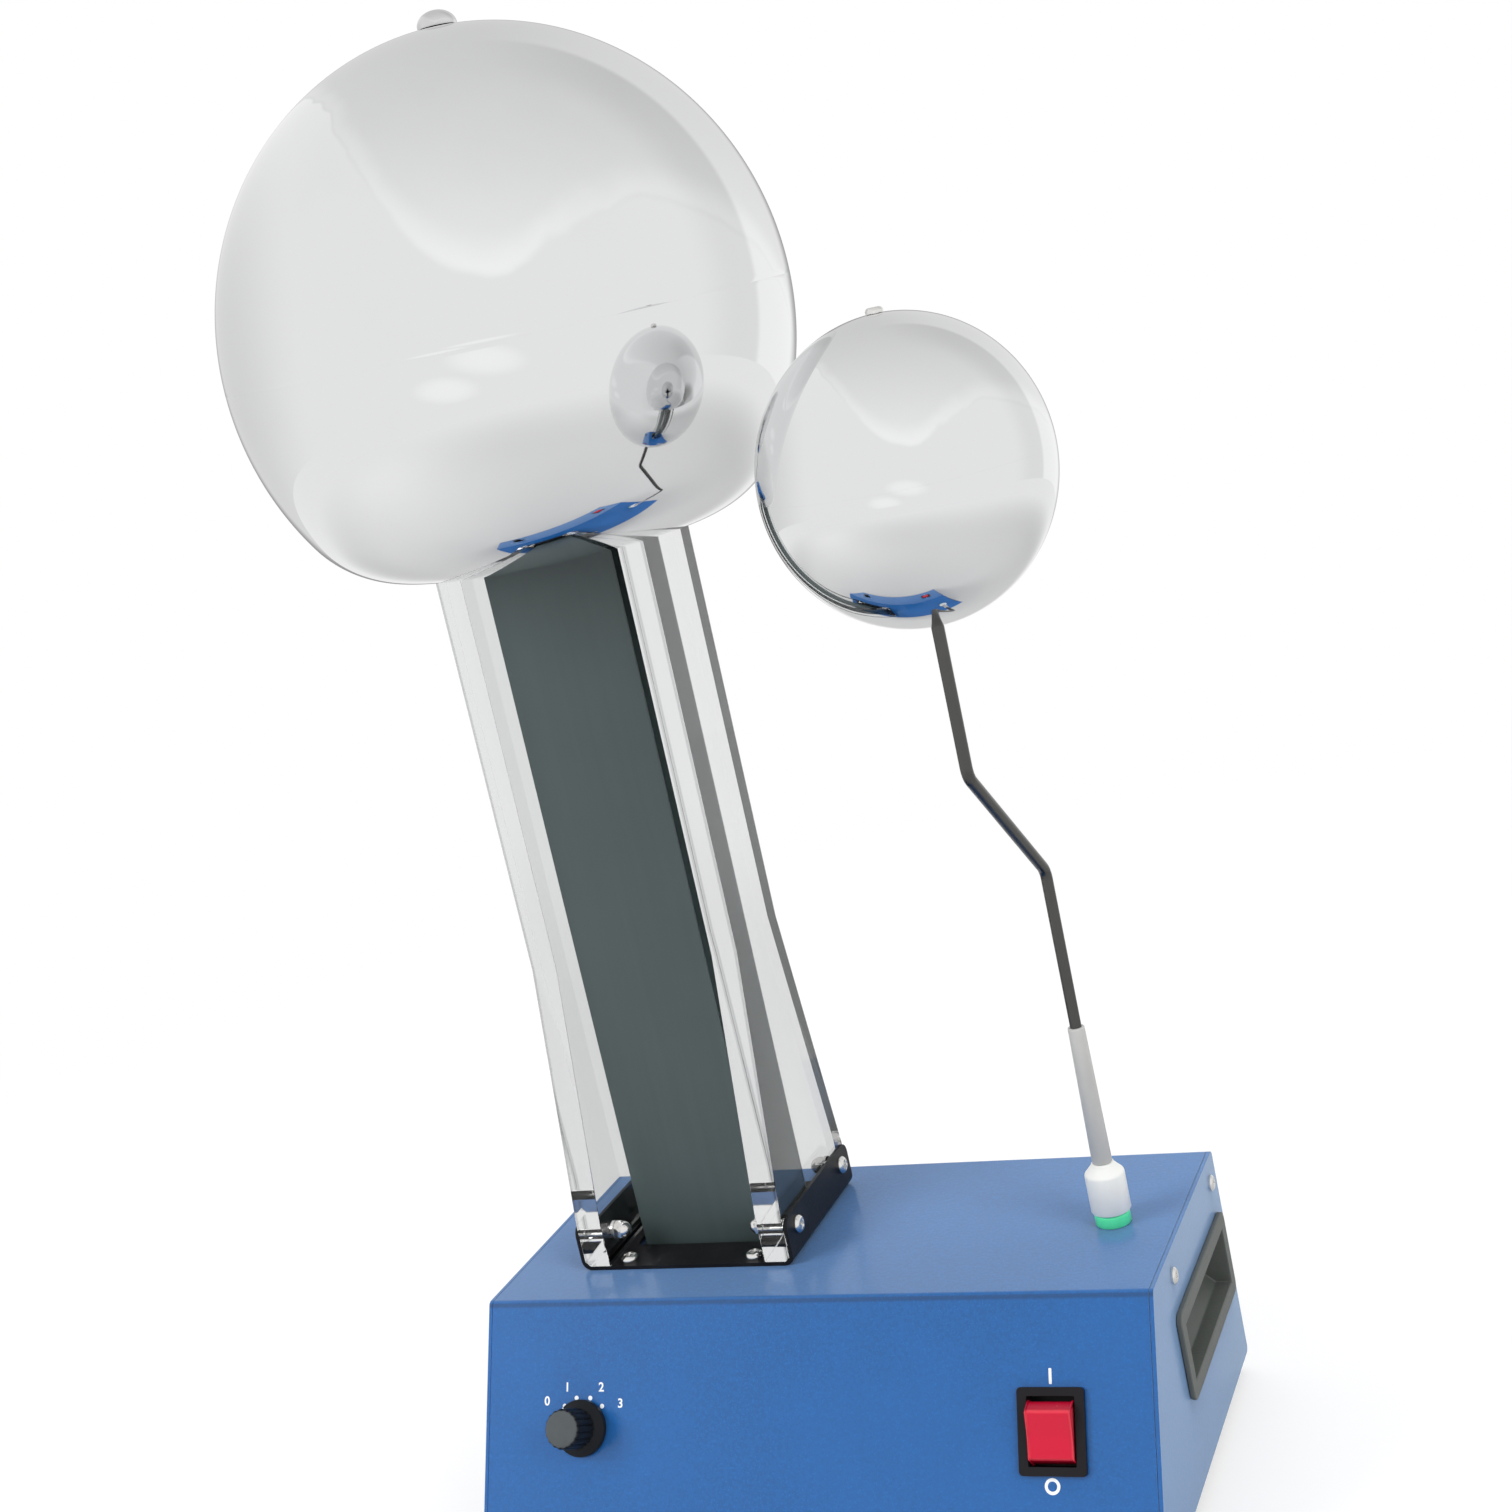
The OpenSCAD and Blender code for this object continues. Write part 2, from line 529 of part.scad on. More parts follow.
// A strip of points along x that reaches from y = -root back to the tips at y = -comb_tip
module comb(root) linear_extrude(comb_t, center = true) polygon(concat(
    [[-25, -root], [25, -root]],
    [for (i = [0:20]) each [[25 - 2.5 * i, -comb_tip - 4], [23.75 - 2.5 * i, i < 20 ? -comb_tip : -comb_tip - 4]]]));

// A sheet with a foot on the seat and a lip that carries the comb
module comb_bracket() color("silver") place() on_column() {
    foot_z = seat_z + seat_t - case_top + touch;
    along_x(2 * comb_half) polygon(sheet_outline([[-38, foot_z], [-24, foot_z],
        [-24, upper_rise - comb_t / 2 - touch], [-32, upper_rise - comb_t / 2 - touch]], 1.2, 2));
}
module upper_comb() color("goldenrod") place() on_column() translate([0, 0, upper_rise]) comb(31);

module lower_comb_bracket() color("silver") place() on_column() along_x(2 * comb_half)
    polygon(sheet_outline([[35, web_z - frame_t - touch], [23, web_z - frame_t - touch],
        [23, -lower_drop + comb_t / 2 + touch], [31, -lower_drop + comb_t / 2 + touch]], 1.2, 2));
module lower_comb() color("goldenrod") place() on_column() translate([0, 0, -lower_drop])
    mirror([0, 1, 0]) comb(30);

// ---- drive under the case top ----

frame_low = -70;
motor_face = frame_half + touch;
motor_bolt = 16;

module drive_frame() color("lightsteelblue") place() on_column() difference() {
    intersection() {
        along_y(2 * 37) polygon(sheet_outline([[frame_half, frame_low], [frame_half, web_z],
            [-frame_half, web_z], [-frame_half, frame_low]], frame_t, 3));
        along_x(2 * frame_half + 2) polygon([[-37, 0], [-37, -18], [-20, frame_low - 1],
            [20, frame_low - 1], [37, -18], [37, 0]]);
    }
    cube([belt_slot.x, belt_slot.y, 12], center = true);
    four(base_screw) cylinder(r = screw_r + 0.15, h = 12, center = true);
    translate([-frame_half, 0, -lower_drop]) rod_x(bearing_r + 0.02, 8);
    translate([frame_half, 0, -lower_drop]) rod_x(bearing_r + 0.1, 8);
    for (a = [45:90:315]) translate([frame_half, 0, -lower_drop]) rotate([a, 0, 0])
        translate([0, motor_bolt, 0]) rod_x(1.6, 8);
}
module motor() color([0.25, 0.26, 0.28]) place() on_column() translate([motor_face, 0, -lower_drop])
    difference() {
        rotate([0, 90, 0]) rotate_extrude() polygon([[0, -2.5], [bearing_r, -2.5], [bearing_r, 0],
            [motor_r - 0.8, 0], [motor_r, 0.8], [motor_r, motor_l - 3], [motor_r - 3, motor_l],
            [9, motor_l], [9, motor_l + 4], [0, motor_l + 4]]);
        translate([5, 0, 0]) rod_x(shaft_r + fit, 24);
        for (a = [45:90:315]) rotate([a, 0, 0]) translate([0, motor_bolt, 0]) rod_x(1.55, 18);
    }
module motor_screws() color("gainsboro") place() on_column()
    translate([frame_half - frame_t - touch, 0, -lower_drop])
        for (a = [45:90:315]) rotate([a, 0, 0]) translate([0, motor_bolt, 0])
            rotate([0, -90, 0]) pan_screw(2.7, 1.8, 1.5, frame_t + 8);
module drive_shaft() color("silver") place() on_column() translate([-frame_half - 4, 0, -lower_drop])
    rotate([0, 90, 0]) cylinder(r = shaft_r, h = 2 * frame_half + 18);
module lower_roller() color("dimgray") place() on_column() translate([0, 0, -lower_drop])
    crowned_roller(shaft_r + 0.02, shaft_r + 0.03, 1);
module shaft_bearing() color("silver") place() on_column()
    translate([-frame_half - bearing_w + frame_t, 0, -lower_drop]) rotate([0, 90, 0]) {
        tube(bearing_r - 0.02, shaft_r + fit, bearing_w);
    }

// ---- dome ----

function but_last(p) = [for (i = [0:len(p) - 2]) p[i]];
function oval(a, b, t0, t1, n) = [for (i = [0:n]) let (t = t0 + (t1 - t0) * i / n) [a * cos(t), b * sin(t)]];

// Outer meridian from the seam down: the spheroid, a blend that turns in at the bottom,
// the rolled lip, the neck and the flange that rests on the seat
function dome_meridian() = let (
    b = dome_r * dome_stretch,
    p = [dome_r * cos(dome_blend), -b * sin(dome_blend)],
    n = unit([cos(dome_blend) / dome_r, -sin(dome_blend) / b]),
    r = (p.y + lip_drop) / (1 + n.y),
    c = p - r * n,
    l = [neck_r + lip_r, c.y - sqrt(pow(r - lip_r, 2) - pow(neck_r + lip_r - c.x, 2))],
    lean = atan2(l.y - c.y, l.x - c.x),
    flange = seat_z + seat_t + touch - dome_z)
    concat(but_last(oval(dome_r, b, -asin(touch / b), -dome_blend, 14)),
        but_last(arc(c, r, atan2(n.y, n.x), lean, 10)), arc(l, lip_r, lean, -180, 6),
        [[neck_r, flange], [neck_r - 3, flange]]);

// Lower half of a shell given by its outer meridian, with a tongue standing up inside the seam
module lower_shell(path, r, wall) rotate_extrude($fn = 96) polygon(concat(path,
    reversed([for (p = shifted(path, -wall)) if (p.y < -lap) p]),
    [[r - wall - 0.95, -lap], [r - wall - 0.95, lap], [r - wall - 0.25, lap], [r - wall - 0.25, -touch]]));
module upper_shell(r, stretch, wall, hole_r) rotate_extrude($fn = 96) polygon(concat(
    oval(r, r * stretch, asin(touch / r / stretch), acos(hole_r / r), 24),
    reversed(oval(r - wall, r * stretch - wall, asin(touch / (r * stretch - wall)),
        acos(hole_r / (r - wall)), 24))));

module on_dome() translate([column_x, column_y, dome_z]) children();

module dome_lower() color("lightgray") place() on_dome() lower_shell(dome_meridian(), dome_r, dome_wall);
module dome_upper() color("lightgray") place() on_dome()
    upper_shell(dome_r, dome_stretch, dome_wall, screw_r + 0.15);
module dome_finial() color("gainsboro") place() on_dome() translate([0, 0, dome_r * dome_stretch + touch])
    rotate_extrude() polygon(concat([[0, -12], [screw_r, -12], [screw_r, 0], [finial_r - 0.4, 0]],
        [for (p = oval(finial_r, finial_h, 0, 90, 12)) p + [0, 0.7]]));
module finial_nut() color("silver") place() on_dome()
    translate([0, 0, dome_r * dome_stretch - dome_wall - touch - nut_h]) hex_nut(7, nut_h, screw_r + 0.02);

// ---- socket, plug, rod and ball ----

contact_r = 2.85;
contact_low = -20;
rod_r = rod_d / 2;

module socket_collar() color("mediumseagreen") place() on_socket() difference() {
    rotate_extrude() polygon(concat([[0, -14], [4.5, -14], [4.5, touch], [collar_r, touch]],
        arc([collar_r - 1, collar_h - 1], 1, 0, 90, 5), [[0, collar_h]]));
    translate([0, 0, -15]) cylinder(r = contact_r + fit, h = 30);
}
module socket_contact() color("goldenrod") place() on_socket() translate([0, 0, contact_low]) difference() {
    cylinder(r = contact_r, h = collar_h - 0.8 - contact_low);
    translate([0, 0, 1.5]) cylinder(r = cage_r + fit, h = 40);
}
module socket_nut() color("silver") place() on_socket()
    translate([0, 0, -sheet_t - touch - 2.6]) hex_nut(13, 2.6, 4.52);

module plug_spring() color("gold") place() on_socket() translate([0, 0, -14])
    tube(cage_r, pin_r + fit, 16.8);
module plug_pin() color("gold") place() on_socket() rotate_extrude()
    polygon([[0, -17.5], [1, -17.5], [1.7, -16.6], [1.7, -14.3], [pin_r, -14.3], [pin_r, 4],
        [2.5, 4], [2.5, 9.8], [0, 9.8]]);
module plug_body() color("white") place() on_socket() rotate_extrude()
    polygon([[2.55, collar_h + plug_gap], [7.2, collar_h + plug_gap], [7.7, collar_h + plug_gap + 0.6],
        [7.7, 20.6], [7.3, 21.6], [4.4, body_top - 0.8], [4.2, body_top], [rod_r + fit, body_top],
        [rod_r + fit, 9.9], [2.55, 9.9]]);
module rod_sleeve() color("whitesmoke") place() on_socket() translate([0, 0, body_top + touch]) difference() {
    cylinder(r1 = 3.9, r2 = 3.2, h = sleeve_top - body_top);
    translate([0, 0, -1]) cylinder(r = rod_r + fit, h = 60);
}

module at_ball() on_socket() translate([0, -crank_reach, ball_rise]) children();
ball_wall = 0.8;

// The rod lies in one plane: up from the plug, forwards in the crank, and up into the ball
module discharge_rod() color([0.5, 0.5, 0.52]) place() on_socket() {
    lean = atan2(crank_reach, crank_high - crank_low);
    cut = bend_r * tan(lean / 2);
    inset = [cut * sin(lean), cut * cos(lean)];
    rod_top = ball_rise + ball_r * dome_stretch - ball_wall - touch;
    straight([0, 0, 10 + bend_bite], 0, crank_low - cut - 10 - bend_bite);
    translate([0, -bend_r, crank_low - cut]) rotate([90, 0, 90]) rod_bend(lean);
    straight([0, -inset.x, crank_low + inset.y], lean,
        norm([crank_reach, crank_high - crank_low]) - 2 * cut);
    translate([0, bend_r - crank_reach, crank_high + cut]) rotate([90, 0, 90]) rotate(180) rod_bend(lean);
    difference() {
        straight([0, -crank_reach, crank_high + cut], 0, rod_top - crank_high - cut - bend_bite);
        translate([0, -crank_reach, rod_top - 9]) cylinder(r = 1.52, h = 10);
    }
}
// The straight lengths bite a little into the bends, which are a hair thicker
bend_bite = 0.3;
module rod_bend(a) rotate_extrude(angle = a) translate([bend_r, 0]) circle(r = rod_r + 0.02);
module straight(from, lean, l) translate(from) rotate([lean, 0, 0]) translate([0, 0, -bend_bite])
    cylinder(r = rod_r, h = l + 2 * bend_bite);

module ball_lower() color("lightgray") place() at_ball() lower_shell(
    oval(ball_r, ball_r * dome_stretch, -asin(touch / ball_r / dome_stretch),
        -acos((rod_r + fit) / ball_r), 24), ball_r, ball_wall);
module ball_upper() color("lightgray") place() at_ball() upper_shell(ball_r, dome_stretch, ball_wall, 1.6);
module ball_screw() color("gainsboro") place() at_ball()
    translate([0, 0, ball_r * dome_stretch + touch]) pan_screw(3, 1.9, pin_r, 8);

case_cover();
side_panel_left();
side_panel_right();
bottom_plate();
case_screws();
rubber_feet();
foot_screws();
carry_handle_left();
carry_handle_right();
power_inlet();
inlet_pins();
inlet_screws();
speed_switch();
switch_nut();
speed_spindle();
speed_knob();
rocker_housing();
power_rocker();
base_bracket();
bracket_screws();
plate_left();
plate_right();
plate_screws();
plate_nuts();
drive_belt();
upper_roller();
upper_bearings();
upper_axle();
axle_spacers();
axle_nuts();
dome_seat();
comb_bracket();
upper_comb();
drive_frame();
motor();
motor_screws();
drive_shaft();
lower_roller();
shaft_bearing();
lower_comb_bracket();
lower_comb();
control_board();
board_parts();
board_standoffs();
dome_lower();
dome_upper();
dome_finial();
finial_nut();
socket_collar();
socket_contact();
socket_nut();
plug_spring();
plug_pin();
plug_body();
rod_sleeve();
discharge_rod();
ball_lower();
ball_upper();
ball_screw();
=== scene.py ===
# A van de graaff generator: blue case, clear belt column, mirror dome and discharge ball.
import json
import math

import bmesh
import bpy
import numpy as np
from mathutils import Matrix

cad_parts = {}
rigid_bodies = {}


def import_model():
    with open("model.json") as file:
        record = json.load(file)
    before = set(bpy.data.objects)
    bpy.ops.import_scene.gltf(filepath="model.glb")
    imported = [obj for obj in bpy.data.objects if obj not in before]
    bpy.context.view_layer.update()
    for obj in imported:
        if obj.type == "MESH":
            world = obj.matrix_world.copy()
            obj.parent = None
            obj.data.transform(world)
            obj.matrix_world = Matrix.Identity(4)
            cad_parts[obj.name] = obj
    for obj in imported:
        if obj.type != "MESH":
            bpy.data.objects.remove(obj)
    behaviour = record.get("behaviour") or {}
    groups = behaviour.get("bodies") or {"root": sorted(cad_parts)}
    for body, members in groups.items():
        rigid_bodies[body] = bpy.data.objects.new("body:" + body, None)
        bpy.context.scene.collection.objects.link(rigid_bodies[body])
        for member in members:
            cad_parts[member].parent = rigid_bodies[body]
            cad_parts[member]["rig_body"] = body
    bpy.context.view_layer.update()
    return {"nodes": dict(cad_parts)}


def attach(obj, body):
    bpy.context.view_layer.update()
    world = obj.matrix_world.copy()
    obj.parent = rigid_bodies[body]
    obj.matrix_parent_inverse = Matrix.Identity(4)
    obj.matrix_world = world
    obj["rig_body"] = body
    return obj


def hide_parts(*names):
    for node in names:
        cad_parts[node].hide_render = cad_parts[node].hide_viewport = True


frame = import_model()

# Places in millimetres, in the case's own frame: x from its middle, y back from the front fold
layout = {
    "shift": (-3.35, 55.05, 0.0),     # what the model's origin has been moved by
    "caseTop": 98.0,
    "sideX": 137.5,
    "column": (-58.7, 61.6, 98.0),
    "dome": (-58.7, 61.6, 472.0),
    "socket": (111.0, 54.5, 98.0),
    "ball": (111.0, -10.5, 403.0),
    "panelTilt": math.atan(52 / 90),
    "knob": (-93.4, -48.8),           # on the front panel, from the fold
    "switch": (98.3, -48.8),
}
alongX, alongY, alongZ = np.eye(3)
tilt = layout["panelTilt"]
panelUp = np.array([0, math.sin(tilt), math.cos(tilt)])
panelOut = np.array([0, -math.cos(tilt), math.sin(tilt)])
panelAxes = {"x": alongX, "y": panelUp, "z": panelOut}


def onPanel(x, y, out=0.0):
    return np.array([x, 0, layout["caseTop"]]) + y * panelUp + out * panelOut


# ---- shapes ----


def place(grid, at=(0, 0, 0), x=alongX, y=alongY, z=alongZ):
    # Local millimetres along the axes x, y and z from a point of the case's frame, turned to metres
    g = np.asarray(grid, float)
    spread = g[..., 0:1] * x + g[..., 1:2] * y + g[..., 2:3] * z
    return (spread + np.asarray(at, float) - layout["shift"]) / 1000


def turned(profile, segments):
    # Surface of revolution: (r cos a, r sin a, z) for each profile point (r, z)
    p = np.asarray(profile, float)
    a = np.linspace(0, 2 * np.pi, segments + 1)
    r, z = p[:, :1], p[:, 1:]
    return np.stack([r * np.cos(a), r * np.sin(a), z + 0 * a], axis=-1)


def swept(path, ring, side=alongX):
    # A closed ring (u, v) carried along a flat path: path + u * side + v * (tangent x side)
    p = np.asarray(path, float)
    t = np.gradient(p, axis=0)
    t /= np.linalg.norm(t, axis=1)[:, None]
    up = np.cross(t, side)
    ring = np.asarray(ring, float)
    return p[:, None] + ring[None, :, :1] * side + ring[None, :, 1:] * up[:, None]


def circleRing(r, n):
    a = np.linspace(0, 2 * np.pi, n + 1)
    return np.stack([r * np.cos(a), r * np.sin(a)], axis=-1)


def arcPoints(centre, r, start, end, n):
    a = np.radians(np.linspace(start, end, n + 1))
    return np.stack([centre[0] + r * np.cos(a), centre[1] + r * np.sin(a)], axis=-1)


def roundedLoop(w, h, r, n):
    # Rounded rectangle as one closed loop, centred
    corners = [(1, 1, 0), (-1, 1, 90), (-1, -1, 180), (1, -1, 270)]
    parts = [arcPoints((sx * (w / 2 - r), sy * (h / 2 - r)), r, a, a + 90, n) for sx, sy, a in corners]
    loop = np.concatenate(parts)
    return np.concatenate([loop, loop[:1]])


def lifted(loop, z):
    loop = np.asarray(loop, float)
    return np.concatenate([loop, np.broadcast_to(np.asarray(z, float), (len(loop),))[:, None]], axis=1)


def shrunk(ring):
    # The ring drawn together to its middle, which closes a loft
    return np.broadcast_to(ring.mean(axis=0), ring.shape)


def closedLoft(rings):
    return np.stack([shrunk(rings[0]), *rings, shrunk(rings[-1])])


mending = {  # metres, and degrees
    "weld": 2e-7, "speck": 1e-8, "nodeWeld": 1e-6, "flat": 0.4, "bevelAbove": 40, "sharp": 32,
}


def addPiece(name, grids, body, finish, nodes=(), sharp=mending["sharp"], outward=True):
    # Joins grids of points into one mesh of quads, closes seams and poles, and points its faces outwards
    grids = [np.asarray(g, float) for g in grids]
    points = np.concatenate([g.reshape(-1, 3) for g in grids])
    faces, start = [], 0
    for g in grids:
        n, m = g.shape[:2]
        i = (start + np.arange((n - 1) * m).reshape(n - 1, m)[:, :-1]).ravel()
        faces.append(np.stack([i, i + 1, i + 1 + m, i + m], axis=-1))
        start += n * m
    faces = np.concatenate(faces)
    mesh = bpy.data.meshes.new(name)
    mesh.vertices.add(len(points))
    mesh.vertices.foreach_set("co", points.ravel())
    mesh.loops.add(faces.size)
    mesh.loops.foreach_set("vertex_index", faces.ravel())
    mesh.polygons.add(len(faces))
    mesh.polygons.foreach_set("loop_start", np.arange(0, faces.size, 4))
    mesh.update(calc_edges=True)
    b = bmesh.new()
    b.from_mesh(mesh)
    bmesh.ops.remove_doubles(b, verts=b.verts, dist=mending["weld"])
    bmesh.ops.dissolve_degenerate(b, edges=b.edges, dist=mending["speck"])
    if outward:
        bmesh.ops.recalc_face_normals(b, faces=b.faces)
    b.to_mesh(mesh)
    b.free()
    return finishPiece(name, mesh, body, finish, nodes, sharp)


def addNode(node, finish, grids, body, sharp=mending["sharp"]):
    # The dressed piece of one CAD node, which bears the node's name
    addPiece(camel(node), grids, body, finishes[finish], (node,), sharp)


def finishPiece(name, mesh, body, finish, nodes, sharp):
    mesh.shade_smooth()
    mesh.set_sharp_from_angle(angle=math.radians(sharp))
    piece = bpy.data.objects.new(name, mesh)
    bpy.context.scene.collection.objects.link(piece)
    mesh.materials.clear()
    mesh.materials.append(finish)
    if body:
        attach(piece, body)
    if nodes:
        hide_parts(*nodes)
    return piece


def camel(node):
    first, *rest = node.split("_")
    return first + "".join(w.capitalize() for w in rest)


def smoothNode(node, finish, bevel):
    # A merged copy of a CAD node, with smooth folds and, where bevel isn't 0, broken edges
    source = frame["nodes"][node]
    mesh = source.data.copy()
    b = bmesh.new()
    b.from_mesh(mesh)
    bmesh.ops.remove_doubles(b, verts=b.verts, dist=mending["nodeWeld"])
    bmesh.ops.dissolve_limit(b, angle_limit=math.radians(mending["flat"]), verts=b.verts, edges=b.edges)
    b.to_mesh(mesh)
    b.free()
    piece = finishPiece(camel(node), mesh, source["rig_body"], finishes[finish], (node,),
                        mending["sharp"])
    if bevel:
        edge = piece.modifiers.new("brokenEdges", "BEVEL")
        edge.width, edge.segments = bevel / 1000, 2
        edge.limit_method, edge.angle_limit = "ANGLE", math.radians(mending["bevelAbove"])
        edge.harden_normals = True
    weigh = piece.modifiers.new("flatFaces", "WEIGHTED_NORMAL")
    weigh.keep_sharp = True


# ---- shader tools ----


class Wire:
    # A socket that takes part in sums: every operator adds a Math node

    def __init__(self, tree, out):
        self.tree, self.out = tree, out

    def maths(self, operation, *others, first=None):
        # The operation on this value and others, or on first and this value
        n = self.tree.nodes.new("ShaderNodeMath")
        n.operation = operation
        for socket, v in zip(n.inputs, (self, *others) if first is None else (first, self)):
            if isinstance(v, Wire):
                self.tree.links.new(v.out, socket)
            else:
                socket.default_value = v
        return Wire(self.tree, n.outputs[0])

    def __add__(self, o):
        return self.maths("ADD", o)

    __radd__ = __add__

    def __mul__(self, o):
        return self.maths("MULTIPLY", o)

    __rmul__ = __mul__

    def __sub__(self, o):
        return self.maths("SUBTRACT", o)

    def __rsub__(self, o):
        return self.maths("SUBTRACT", first=o)

    def __neg__(self):
        return self * -1

    def __truediv__(self, o):
        return self.maths("DIVIDE", o)

    def __pow__(self, o):
        return self.maths("POWER", o)

    def size(self):
        return self.maths("ABSOLUTE")

    def larger(self, o):
        return self.maths("MAXIMUM", o)

    def step(self, low, high):
        # 0 below low and 1 above high, with a soft rise between
        n = self.tree.nodes.new("ShaderNodeMapRange")
        n.interpolation_type = "SMOOTHSTEP"
        self.tree.links.new(self.out, n.inputs["Value"])
        n.inputs["From Min"].default_value, n.inputs["From Max"].default_value = low, high
        return Wire(self.tree, n.outputs["Result"])


class Web:
    # A node tree of a material or a world

    def __init__(self, tree):
        self.tree = tree

    def node(self, kind, settings=None, out=0, **sockets):
        n = self.tree.nodes.new("ShaderNode" + kind)
        for key, value in (settings or {}).items():
            setattr(n, key, value)
        for key, value in sockets.items():
            counted = key[0] == "i" and key[1:].isdigit()      # i3 is the fourth socket
            socket = n.inputs[int(key[1:]) if counted else key.replace("_", " ")]
            if isinstance(value, Wire):
                self.tree.links.new(value.out, socket)
            else:
                socket.default_value = value
        return Wire(self.tree, n.outputs[out])

    def ray(self, kind):
        return self.node("LightPath", out=f"Is {kind} Ray")

    def dot(self, a, b):
        return self.node("VectorMath", {"operation": "DOT_PRODUCT"}, out="Value", i0=a, i1=b)

    def mixShaders(self, factor, a, b):
        n = self.tree.nodes.new("ShaderNodeMixShader")
        for socket, value in zip(n.inputs, (factor, a, b)):
            self.tree.links.new(value.out if isinstance(value, Wire) else value, socket)
        self.tree.links.new(n.outputs[0], self.tree.nodes["Material Output"].inputs["Surface"])


class Finish(Web):
    # A material around one Principled shader

    def __init__(self, name, color, rough, metal=0.0, **fixed):
        self.material = bpy.data.materials.new(name)
        self.material.use_nodes = True
        super().__init__(self.material.node_tree)
        self.shader = self.tree.nodes["Principled BSDF"]
        self.set("Base Color", (*color, 1.0))
        self.set("Roughness", rough)
        self.set("Metallic", metal)
        for socket, value in fixed.items():
            self.set(socket.replace("_", " "), value)

    def set(self, socket, value):
        if isinstance(value, Wire):
            self.tree.links.new(value.out, self.shader.inputs[socket])
        else:
            self.shader.inputs[socket].default_value = value

    def place(self):
        return self.node("TexCoord", out="Object")

    def axis(self, index):
        return self.node("SeparateXYZ", out=index, Vector=self.place())

    def noise(self, scale, detail, stretch=None):
        where = self.place()
        if stretch is not None:
            where = self.node("Mapping", Vector=where, Scale=stretch)
        return self.node("TexNoise", out="Fac", Vector=where, Scale=scale, Detail=detail, Roughness=0.55)

    def blend(self, factor, a, b):
        # Mix of two colours by a factor
        a, b = ((*c, 1.0) if isinstance(c, tuple) and len(c) == 3 else c for c in (a, b))
        return self.node("Mix", {"data_type": "RGBA"}, out=2, i0=factor, i6=a, i7=b)

    def bump(self, height, strength, distance):
        self.set("Normal", self.node("Bump", Height=height, Strength=strength, Distance=distance))


def shade(color, k):
    return tuple(min(1.0, c * k) for c in color)


enamel = {
    "blue": (0.000, 0.080, 0.283), "sheen": (0.74, 0.92, 1.0, 1.0),
    "grain": 620, "speck": 1300, "cloud": 14,                    # noise scales, per metre
    "smooth": 0.13, "rougher": 0.12,
    # Metres up from the fold, and either way across it, for the painted shade line under the fold
    "foldShadeFrom": (-0.0026, -0.0014), "foldShadeTo": (-0.0009, -0.0003), "foldShadeDepth": 0.0004,
}


def enamelFinish():
    # Fine-grained powder coat: a pebbled skin about a millimetre across
    e = enamel
    blue = e["blue"]
    m = Finish("caseEnamel", blue, 0.2, IOR=1.5, Sheen_Weight=0.6, Sheen_Roughness=0.5,
               Sheen_Tint=e["sheen"])
    grain = m.noise(e["grain"], 2.0)
    wide = m.noise(e["cloud"], 3.0)
    speck = m.noise(e["speck"], 2.0)
    tone = m.blend(wide.step(0.35, 0.7), shade(blue, 0.94), shade(blue, 1.07))
    tone = m.blend(grain.step(0.3, 0.7), tone, m.blend(0.5, tone, shade(blue, 1.28)))
    tone = m.blend(speck.step(0.54, 0.70) * 0.5, tone, shade(blue, 1.6))
    # Painted shade: a darker line painted just under the fold between the top and the panel, standing in
    # for the fold's shade
    height = m.axis(2) - layout["caseTop"] / 1000
    depth = m.axis(1) + layout["shift"][1] / 1000
    line = height.step(*e["foldShadeFrom"]) * (1 - height.step(*e["foldShadeTo"]))
    line = line * (1 - depth.step(-e["foldShadeDepth"], e["foldShadeDepth"]))
    m.set("Base Color", m.blend(0.6 * line, tone, shade(blue, 0.35)))
    m.set("Roughness", e["smooth"] + e["rougher"] * grain)
    m.bump(grain, 0.25, 0.00015)
    return m


acrylic = {
    # cut is painted shade, the colour of the darker band along the plates' outer corners
    "clear": (0.77, 0.777, 0.777), "cut": (0.42, 0.43, 0.43), "shadow": (0.90, 0.92, 0.92, 1.0),
    # Metres from the column's middle to the plates' outer faces, and out from there
    "outer": 0.0455, "edgeShadeFrom": (-0.0014, -0.0008), "cutTo": (-0.00015, 0.0),
}


def acrylicFinish():
    # Cast acrylic, clear with a breath of grey-green, light passing freely in its shadow
    k = acrylic
    m = Finish("clearAcrylic", k["clear"], 0.012, Transmission_Weight=1.0, IOR=1.49)
    # Painted shade: a darker band painted along the plates' outer corners, standing in for the dark outline
    # their edges show
    off = m.axis(0) - (layout["column"][0] - layout["shift"][0]) / 1000
    off = off.size() - k["outer"]
    corner = off.step(*k["edgeShadeFrom"]) * (1 - off.step(*k["cutTo"]))
    m.set("Base Color", m.blend(corner, k["clear"], k["cut"]))
    m.set("Roughness", 0.008 + 0.02 * m.noise(30, 3.0).step(0.55, 0.85))
    through = m.tree.nodes.new("ShaderNodeBsdfTransparent")
    through.inputs["Color"].default_value = k["shadow"]
    m.mixShaders(m.ray("Shadow"), m.shader.outputs[0], through.outputs[0])
    return m


def plastic(name, color, rough, grainScale=1400, grain=0.2, **fixed):
    m = Finish(name, color, rough, **fixed)
    fine = m.noise(grainScale, 2.0)
    m.set("Base Color", m.blend(m.noise(45, 3.0), shade(color, 0.9), shade(color, 1.12)))
    m.set("Roughness", rough - 0.05 + 0.1 * fine)
    m.bump(fine, grain, 0.00025)
    return m


def metal(name, color, rough, scale, depth=0.08, spread=0.1):
    # Noise stretched by scale gives grinding or turning lines
    m = Finish(name, color, rough, 1.0)
    lines = m.noise(1.0, 3.0, stretch=scale)
    m.set("Base Color", m.blend(m.noise(80, 3.0), shade(color, 0.9), shade(color, 1.06)))
    m.set("Roughness", rough - spread / 2 + spread * lines)
    m.bump(lines, depth, 0.0001)
    return m


